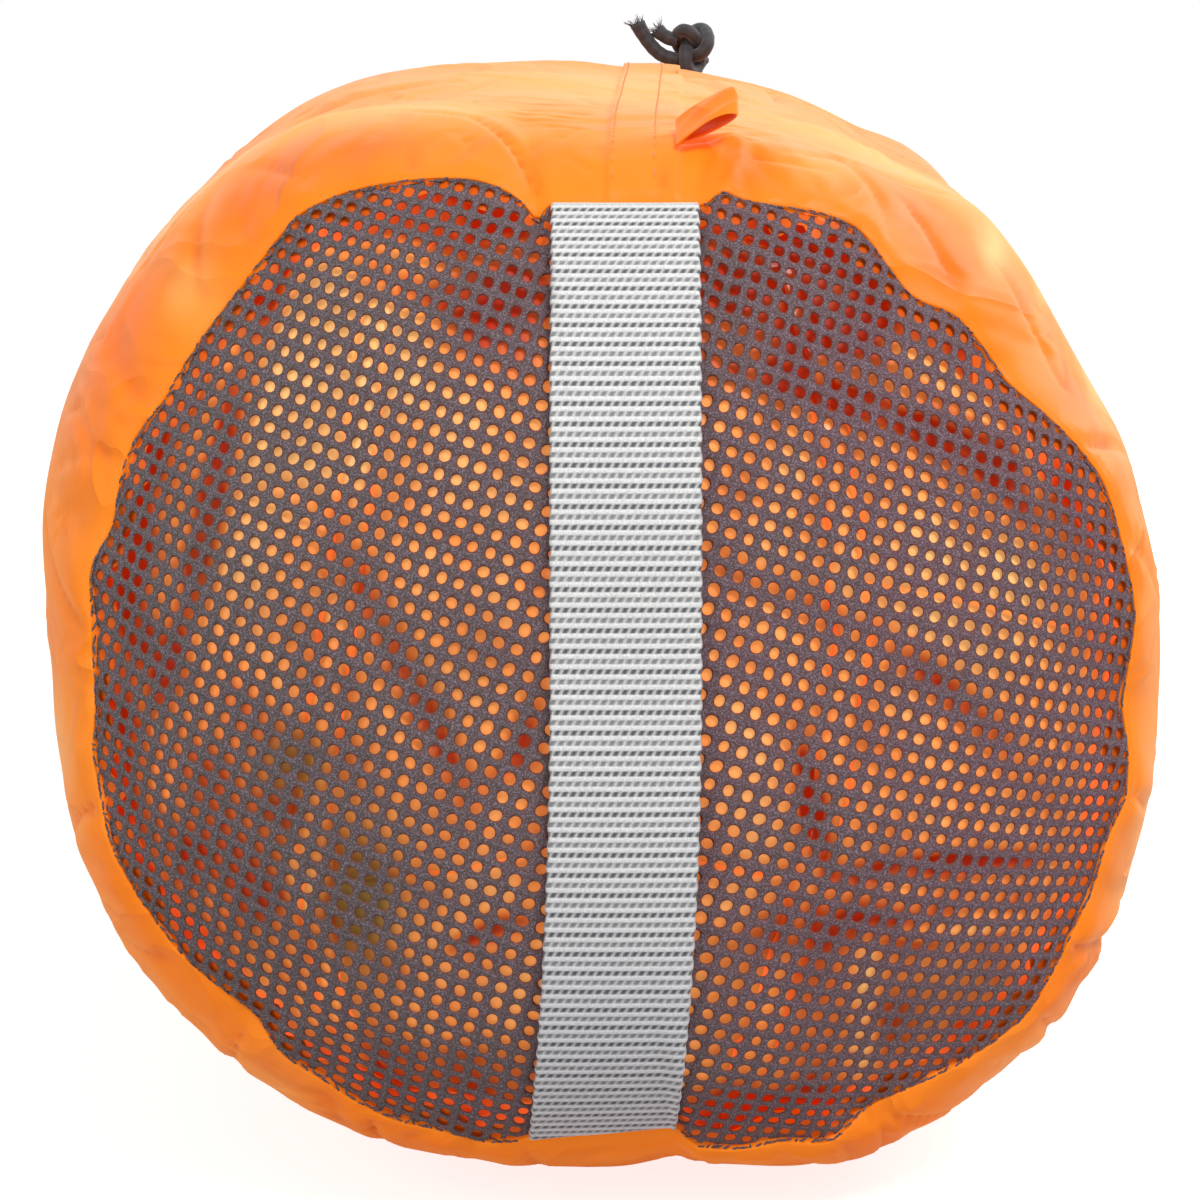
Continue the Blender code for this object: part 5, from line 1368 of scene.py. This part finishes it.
def make_webbing():
    """The tape's sections, face and back, its faces with both ends closed, and the groove at each point."""
    across = np.linspace(-1, 1, FACE_COLUMNS)
    q, ribs = strap_rows()
    print("the tape has", ribs, "ribs")
    points, normals = strap_line(across, q)
    u = np.linspace(0, ribs - 1e-6, len(q))[:, None]
    height, groove = strap_weave(u, (across[None] + 1) / 2 * WARP_COLUMNS)
    edge = ease((np.abs(across) - SELVEDGE_FROM) / (1 - SELVEDGE_FROM)) * np.sign(across)
    selvedge = np.sin(math.pi * u) * edge[None]
    points = points + unit(np.gradient(points, axis=1)) * (selvedge * SELVEDGE_WAVE)[..., None]
    rise = (STRAP_T / 2 - FACE_DROP + height) * rounded(across, FACE_ROUND)[None]
    face = points + normals * rise[..., None]
    under = np.linspace(1, -1, UNDER_COLUMNS)
    below = np.round((under + 1) / 2 * (FACE_COLUMNS - 1)).astype(int)
    back = points[:, below] - normals[:, below] * STRAP_T / 2 * rounded(under, BACK_ROUND)[None, :, None]
    ring = np.concatenate([face, back[:, 1:-1]], axis=1)
    rows, columns = ring.shape[:2]
    faces = grid_faces(rows, columns, closed=True).tolist()
    faces.append(list(range(columns))[::-1])
    faces.append([(rows - 1) * columns + j for j in range(columns)])
    return ring, faces, np.concatenate([groove, np.zeros((rows, UNDER_COLUMNS - 2))], axis=1)


ring, faces, groove = make_webbing()
add_piece("webbing_tape", ring, faces, WEBBING_WHITE, "sack", ("webbing_handle",),
          {"groove": groove})

# %% [markdown]
# ## The hang loop
#
# A short strip of the sack's cloth is folded double and caught in the edge of the side seam. Its section
# is a long drop, open in the middle, and the cloth is thin, so it is a closed band carried along the
# seam's direction. It rides on its own body, because it can flap.

# %% Hang loop
LOOP_MIDDLE = np.array([0.013108, -0.114747, 0.186641])
LOOP_ALONG = np.array([0.0, 0.902807, 0.430047])
LOOP_WIDTH, LOOP_LENGTH, LOOP_OPEN, LOOP_T = 8.8 * MM, 12.4 * MM, 2.5 * MM, 0.4 * MM
LOOP_LEAN, LOOP_TUCK, LOOP_SEWN, LOOP_TAPER = math.radians(34.0), 1.1 * MM, 2.0 * MM, 0.4
LOOP_ROWS, LOOP_COLUMNS, LOOP_CRUMPLE, INSIDE_PAINTED_SHADE = 25, 64, 0.25 * MM, -0.9


def loop_band():
    """Outer and inner skins of the folded strip: run = (1 - cos) / 2 along it, bulge = sin across it."""
    out = np.array([math.cos(LOOP_LEAN), 0.0, math.sin(LOOP_LEAN)])
    out = unit(out - LOOP_ALONG * out.dot(LOOP_ALONG))
    side = np.cross(LOOP_ALONG, out)
    phase = np.linspace(0, 2 * math.pi, LOOP_COLUMNS, endpoint=False)
    run = (1 - np.cos(phase)) / 2
    bulge = np.sin(phase) * (LOOP_TAPER + (1 - LOOP_TAPER) * run)
    w = np.linspace(-1, 1, LOOP_ROWS)[:, None]
    crumple = LOOP_CRUMPLE * np.sin(5 * w + 2 * phase[None]) * run[None]
    skins = []
    for start, length, open_half, crown in (
            (-LOOP_TUCK, LOOP_LENGTH, LOOP_OPEN / 2 + LOOP_T, 1),
            (LOOP_SEWN - LOOP_TUCK, LOOP_LENGTH - LOOP_T - LOOP_SEWN, LOOP_OPEN / 2, -1)):
        along_run = start + length * run[None] * (1 - 0.04 * w**2)
        across = bulge[None] * open_half * (1 - 0.10 * np.abs(w) ** 6 * crown) + crumple
        skins.append(LOOP_MIDDLE + LOOP_ALONG * (w * LOOP_WIDTH / 2)[..., None] + out * along_run[..., None]
                     + side * across[..., None])
    return skins


outer, inner = loop_band()
ring = np.concatenate([outer, inner[::-1]])
# The inner skin of the folded strip gets painted shade, a darker red
inside = np.repeat([0.0, 1.0], LOOP_ROWS)[:, None] * np.ones(LOOP_COLUMNS)
add_piece("hang_loop_cloth", ring, torus_faces(*ring.shape[:2], flip=True), LOOP_NYLON, "loop",
          ("hang_loop",), {"crease": np.zeros_like(inside), "pale": INSIDE_PAINTED_SHADE * inside})

# %% [markdown]
# ## The cord tunnel
#
# Round the mouth the cloth is turned over into a hem that the cord runs in. Drawn tight, the hem bunches
# into many small ruffles. It is a flattened tube bent into a ring, open at the top where both ends of
# the cord come out, and its ruffles are waves round the ring that are stronger on the outside.

# %% Cord tunnel and the cord inside it
RING_RADIUS, TUNNEL_DEPTH, TUNNEL_THICK, TUNNEL_GAP = 18.0 * MM, 13.0 * MM, 8.4 * MM, math.radians(60.0)
RING_Y = 0.156798
RING_SPAN = (math.pi / 2 + TUNNEL_GAP / 2, 2.5 * math.pi - TUNNEL_GAP / 2)
BORE_ROOM = 0.3 * MM
TUNNEL_ROWS, TUNNEL_SIDES, CORD_ROWS, CORD_SIDES = 361, 40, 260, 20


def ring_place(theta, radius, back):
    """A point round the drawn mouth: at an angle, a radius, and a way behind the ring."""
    theta, radius, back = np.broadcast_arrays(theta, radius, back)
    return np.stack([radius * np.cos(theta) + SHIFT_X, RING_Y + back, MOUTH_Z + radius * np.sin(theta)], -1)


def tunnel():
    """The hem's outer skin, ruffled by sharp waves round the mouth, and its bore, as two grids."""
    theta = np.linspace(*RING_SPAN, TUNNEL_ROWS)[:, None]
    turn = np.linspace(0, 2 * math.pi, TUNNEL_SIDES, endpoint=False)[None]
    uneven = theta + 0.06 * np.sin(3 * theta) + 0.03 * np.sin(8 * theta + 1)
    ruffle = (1 - 2 * np.abs(np.sin(11 * uneven)) ** 0.7) * 0.95 * MM + 0.35 * MM * np.cos(37 * uneven)
    rear = (1 + np.sin(turn)) / 2
    thick = TUNNEL_THICK / 2 * (0.92 + 0.08 * np.cos(23 * uneven))
    outside = np.where(np.cos(turn) > -0.2, 1, 0.5)
    across = thick * np.cos(turn) + ruffle * (0.15 + 0.85 * rear) * outside
    back = TUNNEL_DEPTH / 2 * np.sin(turn) + 0.4 * MM * np.sin(17 * uneven) * rear
    bore = CORD_D / 2 + BORE_ROOM
    return (ring_place(theta, RING_RADIUS + across, back),
            ring_place(theta, RING_RADIUS + bore * np.cos(turn), bore * np.sin(turn)))


def tunnel_faces(rows, columns):
    """Both skins, the second one turned inside out, and the rings that join them at the two ends."""
    skin, last = rows * columns, (rows - 1) * columns
    j, k = round_ring(columns)
    return np.vstack([
        grid_faces(rows, columns, closed=True, flip=True), grid_faces(rows, columns, closed=True, start=skin),
        np.stack([j, k, k + skin, j + skin], -1),
        np.stack([last + k, last + j, last + j + skin, last + k + skin], -1)])


skins = np.array(tunnel())
add_piece("tunnel_cloth", skins, tunnel_faces(*skins.shape[1:3]), SACK_NYLON, "sack",
          ("cord_channel",))
cord_path = ring_place(np.linspace(*RING_SPAN, CORD_ROWS), RING_RADIUS, 0.0)
braided_tube("tunnel_cord", cord_path, CORD_D, CORD_SIDES, "sack", ("drawcord",))

# %% [markdown]
# ## The folded shelter
#
# Behind the mesh lies the shelter: stacks of folded nylon, pressed together. Each panel is a six-sided
# block whose sides follow wavy dividing lines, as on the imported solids. Its front face is a fine grid that
# lies close behind the mesh where the photograph shows bright holes and sinks back where they are dark,
# with folds and wrinkles along lines that the photograph shows.

# %% Dividing lines and depth of the folds
PACK_REACH, PLEAT_ROOM = math.radians(11.0), 2.64 * MM
TUCK_ROOM, WALL_ROOM, REAR_ROOM = 2.9 * MM, 3.4 * MM, 3.0 * MM
GROUND_ROOM, LAYER_STEP = 2.2 * MM, 1.2 * MM
LIP_END_S = 33.5 * MM
# Rows of the pack: way behind the front, and how far the middle of the row bulges back
PACK_ROWS = (
    (SEAM_S, 0.0), (LIP_END_S, -19.0 * MM), (46.0 * MM, -12.0 * MM), (75.0 * MM, -4.0 * MM),
    (130.0 * MM, 0.0), (190.0 * MM, 0.0), (225.0 * MM, 2.0 * MM), (250.0 * MM, 4.0 * MM),
    (267.0 * MM, 6.0 * MM), (280.0 * MM, 0.0))
PACK_END_S = MOUTH_S - 6.5 * MM
FOLD_FRONT, FOLD_ROUNDING, FOLD_INSET = 0.95 * MM, 0.9 * MM, 0.0053
FOLD_CELLS, WINDOW_CELLS = 40, 8
SETTLING_STEPS = 12
PIXEL_SIZE = 0.163 * MM
# The middle and the gain of the shelter's painted light, the painted shade at the blocks' edges, and the
# seat's dullness
MIDDLE_TONE, TONE_GAIN, BROW_SHADE, SEAT_DULL = 0.49, 1.15, 0.1, 0.12

# Dark hollows: pixel place, reach along x and y in pixels, and depth in mm
HOLLOWS = (
    ((430, 212), (150, 34), 6.0), ((880, 320), (165, 70), 3.2), ((1030, 450), (70, 100), 3.0),
    ((900, 985), (170, 60), 3.0), ((450, 1095), (150, 45), 5.0), ((760, 1125), (110, 40), 5.0),
    ((120, 640), (26, 240), 4.0), ((160, 440), (40, 130), 3.5), ((1100, 700), (30, 160), 3.0))
# Painted light and shade seen through the mesh: pixel place, reach in pixels, and how much lighter
SHELTER_LIGHT_AND_SHADE = (
    ((350, 345), (95, 90), 0.55), ((300, 420), (75, 130), 0.50), ((470, 470), (75, 130), 0.22),
    ((220, 560), (60, 120), 0.22), ((960, 590), (110, 80), 0.42), ((800, 560), (90, 90), 0.12),
    ((740, 800), (55, 110), 0.25), ((1000, 720), (80, 110), 0.10), ((480, 900), (60, 140), 0.12),
    ((435, 212), (140, 34), -0.55), ((492, 315), (56, 56), -0.62), ((165, 430), (62, 170), -0.28),
    ((240, 290), (60, 60), -0.3), ((835, 290), (190, 85), -0.50),
    ((1020, 420), (80, 90), -0.40), ((1085, 520), (40, 80), -0.3), ((130, 640), (34, 240), -0.35),
    ((240, 880), (120, 90), -0.34), ((880, 930), (160, 34), -0.42), ((900, 1020), (130, 60), -0.22),
    ((430, 1080), (150, 50), -0.32), ((770, 1115), (110, 42), -0.5), ((230, 760), (80, 90), -0.2))
# Dull greenish cloth: pixel place, reach in pixels, and strength
DULLS = (
    ((292, 764), (34, 36), 0.75), ((363, 900), (34, 74), 0.75), ((330, 850), (110, 130), 0.38),
    ((470, 700), (70, 60), 0.25), ((430, 640), (60, 60), 0.22), ((945, 1010), (95, 62), 0.35),
    ((210, 560), (40, 60), 0.25), ((300, 600), (50, 60), 0.2))
# Fold lines: pixels of the line, half width in mm, depth in mm (negative stands out)
FOLD_LINES = (
    (((300, 215), (235, 400), (190, 600), (160, 700)), 2.6, 4.5),
    (((740, 370), (870, 410), (1000, 470), (1050, 560)), 2.4, 4.0),
    (((800, 740), (815, 820), (830, 880)), 2.0, 4.0),
    (((830, 880), (930, 868), (1050, 860)), 2.0, 4.0),
    (((890, 345), (950, 385), (1010, 430), (1062, 490)), 1.8, -4.2),
    (((868, 935), (866, 1010), (862, 1085)), 1.8, -4.5),
    (((890, 936), (960, 930), (1030, 922)), 1.7, -4.0),
    (((300, 825), (300, 880), (305, 925)), 1.8, -3.8),
    (((380, 620), (430, 730), (470, 800)), 2.6, 3.0),
    (((470, 800), (520, 760), (540, 690)), 2.4, 2.5),
    (((330, 250), (420, 300), (540, 300)), 2.6, 3.0),
    (((250, 480), (330, 520), (370, 640)), 3.0, 2.2),
    (((880, 640), (960, 700), (1040, 790)), 3.0, 2.6),
    (((700, 560), (800, 600), (880, 640)), 3.0, 1.6),
    (((440, 960), (500, 930), (545, 925)), 2.0, 3.0))


def patches(x, q, places):
    """Soft ovals placed by pixel: e to the power of minus (the squared distance in reaches)^1.3, summed."""
    total = np.zeros_like(x)
    for pixel, reach, strength in places:
        cx, cq = on_dome(pixel)
        rx, rq = reach[0] * PIXEL_SIZE, reach[1] * PIXEL_SIZE
        total += strength * np.exp(-(((x - cx) / rx) ** 2 + ((q - cq) / rq) ** 2) ** 1.3)
    return total


def fold_lines(x, q):
    """Valleys and ridges along the fold lines, in metres of depth."""
    total = np.zeros_like(x)
    for pixels, width, depth in FOLD_LINES:
        away, along = distance_to_line(x, q, np.stack(on_dome(pixels), -1))
        fade = np.sin(np.clip(along, 0.03, 0.97) * math.pi) ** 0.5
        total += depth * MM * fade * bell(away / (width * MM))
    return total


def front_depth(x, q):
    """How far the shelter's front lies behind its nearest place: hollows and fold lines, never negative."""
    ripple = 0.25 * np.sin(x / (3.1 * MM) + 2 * np.sin(q / (11 * MM)))
    ripple = ripple + 0.2 * np.sin(q / (4.3 * MM) + np.sin(x / (7 * MM)))
    rim = ease((of_the_seam(x, q) - 0.9) / 0.07)
    return np.maximum(patches(x, q, HOLLOWS) * MM + fold_lines(x, q) + ripple * MM, 0.0) + rim * MM


def painted_front_light(x, q):
    """How much painted light the front gets, from 0 to 1: painted shade in folds and hollows, painted light
    where the listed patches put it.
    """
    # Painted shade in folds
    folds = np.clip(fold_lines(x, q) / (5 * MM), -0.5, 0.6)
    streak = 0.07 * np.sin(x / (2.3 * MM) + 3 * np.sin(q / (13 * MM))) + 0.05 * np.sin((x + 2 * q) / (5 * MM))
    return np.clip(MIDDLE_TONE + TONE_GAIN * patches(x, q, SHELTER_LIGHT_AND_SHADE) - folds + streak, 0, 1)


def wall_s_at(theta, radius):
    """How far back the rear shoulder has drawn in to a radius."""
    draw = np.clip((radius - MOUTH_RADIUS) / (body_radius(theta) - MOUTH_RADIUS), 0, 1)
    return REAR_S + (MOUTH_S - REAR_S) * (1 - draw**REAR_ROUNDNESS) ** (1 / REAR_ROUNDNESS)


def pack_point(u, v, row):
    """A square place (u, v) rounded into the sack's section at a row of the pack."""
    s_edge, crown = PACK_ROWS[row]
    across, height = u * np.sqrt(1 - v**2 / 2), v * np.sqrt(1 - u**2 / 2)
    share, theta = np.hypot(across, height), np.arctan2(height, across)
    s = np.full_like(share, s_edge)
    last = row == len(PACK_ROWS) - 1
    nearby = [theta + turn for turn in (-PACK_REACH, 0.0, PACK_REACH)]
    if s_edge <= LIP_END_S:
        radius = share * (np.minimum.reduce([seam_radius(angle) for angle in nearby]) - TUCK_ROOM)
    else:
        room = WALL_ROOM + PLEAT_ROOM * ease((s - 230 * MM) / (20 * MM))
        radius = share * (np.minimum.reduce([sack_radius(angle, s) for angle in nearby]) - room)
        if last:
            s = np.minimum(wall_s_at(theta, radius + room) - REAR_ROOM, PACK_END_S)
    points = place(radius, theta, s, GROUND_ROOM)
    if row == 0:
        x, q = points[..., 0] - SHIFT_X, points[..., 2] - AXIS_Z
        steep = -1 / dome_normal(x, q)[..., 1]
        points[..., 1] = dome(x, q)[..., 1] + (FOLD_FRONT - mesh_waves(x, q)) * steep + front_depth(x, q)
    elif not last:
        points[..., 1] += crown * (1 - share**DOME_POWER)
    return points


def crease(number, v, row):
    """The wavy line between two upright stacks of folds, as a place across the sack."""
    base, swing, waves_up, lag = (
        (-0.60, 0.08, 2.2, 0.7), (-0.08, 0.06, 2.8, 1.9), (0.42, 0.07, 2.4, 0.2))[number]
    return base + swing * np.sin(waves_up * v + lag) + 0.03 * math.sin(0.9 * row + number)


def shelf(number, u, row):
    """The line across a stack, as a height in the sack."""
    base, slope = ((-0.30, 0.25), (-0.33, -0.15), (0.38, -0.30))[number]
    return base + slope * u + 0.03 * math.sin(0.8 * row)


def side_line(function, number, offset=0.0):
    """A dividing line and the small gap that a fold keeps from it."""
    return (lambda other, row: function(number, other, row) + offset), FOLD_INSET


def pack_edge(value):
    """An edge of the whole pack, as a dividing line with no gap."""
    return (lambda other, row: np.full_like(other, value)), 0.0


def fold_layers(left, right, bottom, top, cells_across, edge_power):
    """The block's rows of points, each place settled between its four lines, and the puffed front's brow."""
    a, b = np.meshgrid(np.linspace(0, 1, cells_across + 1), np.linspace(0, 1, 2 * FOLD_CELLS + 1))
    brow = np.maximum(np.abs(2 * a - 1) ** edge_power, np.abs(2 * b - 1) ** 9)
    layers = []
    for row in range(len(PACK_ROWS)):
        u, v = a * 2 - 1, b * 2 - 1
        for _ in range(SETTLING_STEPS):
            low, high = bottom[0](u, row) + bottom[1], top[0](u, row) - top[1]
            v = low + (high - low) * b
            near, far = left[0](v, row) + left[1], right[0](v, row) - right[1]
            u = near + (far - near) * a
        points = pack_point(u, v, row)
        if row == 0:
            points[..., 1] += FOLD_ROUNDING * brow
        elif row < 3:
            points[..., 1] = np.maximum(points[..., 1], layers[-1][..., 1] + LAYER_STEP)
        layers.append(points)
    return np.array(layers), brow


def fold(name, left, right, bottom, top, finish, slot, stands_for):
    """A block of folds between four dividing lines: a fine puffed front, plain sides and back."""
    cells_across, edge_power = (WINDOW_CELLS, 3) if finish is CLEAR_FILM else (FOLD_CELLS, 7)
    grid, brow = fold_layers(left, right, bottom, top, cells_across, edge_power)
    x, q = grid[0][..., 0] - SHIFT_X, grid[0][..., 2] - AXIS_Z
    dull_base = SEAT_DULL if finish is SEAT_NYLON else 0.0
    # The front's painted light and shade, with painted shade along the brow
    fronts = {"painted_light_level": painted_front_light(x, q) - BROW_SHADE * brow,
              "dull": np.clip(patches(x, q, DULLS) + dull_base, 0, 1)}
    number = np.arange(grid[..., 0].size).reshape(grid.shape[:3])
    sheets = (number[0], number[-1][::-1], number[:, 0][::-1], number[:, -1],
              number[:, :, 0], number[:, :, -1][::-1])
    quads = [np.stack((sheet[:-1, :-1], sheet[:-1, 1:], sheet[1:, 1:], sheet[1:, :-1]), -1).reshape(-1, 4)
             for sheet in sheets]
    used, faces = np.unique(np.concatenate(quads), return_inverse=True)
    values = {label: np.repeat(front[None], len(grid), axis=0).ravel()[used]
              for label, front in fronts.items()}
    add_piece(name, grid.reshape(-1, 3)[used], faces.reshape(-1, 4), finish, "sack", (stands_for,),
              values)


# %% The nine panels
HALF_WINDOW = 0.035
CANOPY, SEAT, FILM = (SHELTER_NYLON, "canopy_nylon"), (SEAT_NYLON, "seat_fabric"), (CLEAR_FILM, "window_film")
left_side, right_side, floor_side, roof = (pack_edge(value) for value in (-1.0, 1.0, -1.0, 1.0))
before_left, after_left = side_line(crease, 0, -HALF_WINDOW), side_line(crease, 0, HALF_WINDOW)
before_right, after_right = side_line(crease, 2, -HALF_WINDOW), side_line(crease, 2, HALF_WINDOW)
middle_line = side_line(crease, 1)
shelf_left, shelf_right, shelf_far = (side_line(shelf, number) for number in range(3))
PANELS = (
    ("left", left_side, before_left, floor_side, roof, CANOPY, "canopy_left_panel"),
    ("window_left", before_left, after_left, floor_side, roof, FILM, "window_left"),
    ("end", after_left, middle_line, shelf_left, roof, CANOPY, "canopy_end_panel"),
    ("seat_left", after_left, middle_line, floor_side, shelf_left, SEAT, "seat_panel_left"),
    ("right", middle_line, before_right, shelf_right, roof, CANOPY, "canopy_right_panel"),
    ("seat_right", middle_line, before_right, floor_side, shelf_right, SEAT, "seat_panel_right"),
    ("window_right", before_right, after_right, floor_side, roof, FILM, "window_right"),
    ("roof", after_right, right_side, floor_side, shelf_far, CANOPY, "canopy_roof_panel"),
    ("vent", after_right, right_side, shelf_far, roof, CANOPY, "vent_sleeve"))
for name, left, right, bottom, top, cloth, stands_for in PANELS:
    fold(f"shelter_{name}", left, right, bottom, top, *cloth, stands_for)

# %% [markdown]
# ## The cord lock
#
# The barrel and its button are rigid and already have their true shape, so the imported solids stay and only
# get their finishes. The spring between them is wound again as a helix.

# %% Finishes of the imported lock
for node_name in ("cord_lock_barrel", "cord_lock_button"):
    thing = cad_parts[node_name]
    thing.data.materials.clear()
    thing.data.materials.append(LOCK_BLACK)

# %% The lock's spring
LOCK_MIDDLE = np.array([0.000842, 0.153929, 0.128])
LOCK_UP = np.array([0.0, -0.139173, 0.990268])
LOCK_OUT = np.array([0.0, 0.990268, 0.139173])
SPRING_FLOOR, SPRING_LOW, SPRING_HIGH = -7.90 * MM, -7.25 * MM, -3.75 * MM
SPRING_R, SPRING_D, SPRING_TURNS, PRESSED_SHARE = 3.0 * MM, 0.7 * MM, 3.5, 0.24
SPRING_POINTS, SPRING_SIDES = 120, 10


def helix():
    """R cos t and R sin t across the lock, and a height that grows evenly with t."""
    t = np.linspace(0, 2 * math.pi * SPRING_TURNS, SPRING_POINTS)
    height = SPRING_LOW + (SPRING_HIGH - SPRING_LOW) * t / t[-1]
    return LOCK_MIDDLE + turned(t, np.array([1, 0, 0]), -LOCK_UP) * SPRING_R + height[:, None] * LOCK_OUT


spring = braided_tube("lock_spring_wire", helix(), SPRING_D, SPRING_SIDES, "lock",
                      ("cord_lock_spring",), SPRING_WIRE, relief=0.0)
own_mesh(spring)

# %% [markdown]
# ## Floor and light
#
# The photograph is a cut-out on white. The floor is white, and it adds a little of its own light towards
# the camera, so that its open part is as white as the background and the sack's shadow still shows. A
# soft lamp above and to the right, a larger, weaker one from the left and a narrow strip behind the right
# shoulder give the shapes; the even white surroundings fill the shadows.

# %% Floor
FLOOR_SIZE, FLOOR_Z = 6.0, -0.3 * MM
FLOOR_GLOW, WORLD_LEVEL = 0.80, 0.46
corners = np.array([(-1, -1), (1, -1), (1, 1), (-1, 1)]) * FLOOR_SIZE / 2
floor_mesh = bpy.data.meshes.new("floor")
floor_mesh.from_pydata([(x, y, FLOOR_Z) for x, y in corners], [], [(0, 1, 2, 3)])
floor = bpy.data.objects.new("floor", floor_mesh)
bpy.context.scene.collection.objects.link(floor)
floor_finish, tree, shader = new_material("floor_white", (0.6, 0.6, 0.6), 0.9, Specular_IOR_Level=0.0)
seen = node(tree, "ShaderNodeLightPath").outputs["Is Camera Ray"]
glow = node(tree, "ShaderNodeEmission",
            {"Color": (1, 1, 1, 1), "Strength": math_node(tree, "MULTIPLY", seen, FLOOR_GLOW)})
total = node(tree, "ShaderNodeAddShader", {0: shader.outputs[0], 1: glow.outputs[0]})
tree.links.new(total.outputs[0], tree.nodes["Material Output"].inputs["Surface"])
floor_mesh.materials.append(floor_finish)

# %% World and lamps
world = bpy.data.worlds.new("studio")
bpy.context.scene.world = world
world.use_nodes = True
tree = world.node_tree
background = tree.nodes["Background"]
rays = node(tree, "ShaderNodeLightPath").outputs
seen = math_node(tree, "MAXIMUM", rays["Is Camera Ray"],
                 math_node(tree, "MAXIMUM", rays["Is Glossy Ray"], rays["Is Transmission Ray"]))
tree.links.new(remap(tree, seen, 0.0, 1.0, WORLD_LEVEL, 1.0), background.inputs["Strength"])
background.inputs["Color"].default_value = (1, 1, 1, 1)


def lamp(name, place_at, aim_at, size, power):
    """A soft rectangle of light at a place, turned towards another."""
    data = bpy.data.lights.new(name, "AREA")
    data.shape = "RECTANGLE"
    data.size, data.size_y = size
    data.energy = power
    thing = bpy.data.objects.new(name, data)
    thing.location = place_at
    thing.rotation_euler = (Vector(aim_at) - Vector(place_at)).to_track_quat("-Z", "Y").to_euler()
    bpy.context.scene.collection.objects.link(thing)


lamp("key_lamp", (0.55, -0.95, 1.25), (0, -0.08, 0.1), (0.5, 0.5), 12.0)
lamp("fill_lamp", (-1.1, -0.9, 0.6), (0, -0.05, 0.1), (0.8, 0.8), 4.0)
lamp("shoulder_strip", (0.75, 0.55, 0.75), (0.05, -0.08, 0.15), (0.12, 0.7), 3.0)

# %% Update the view layer
bpy.context.view_layer.update()
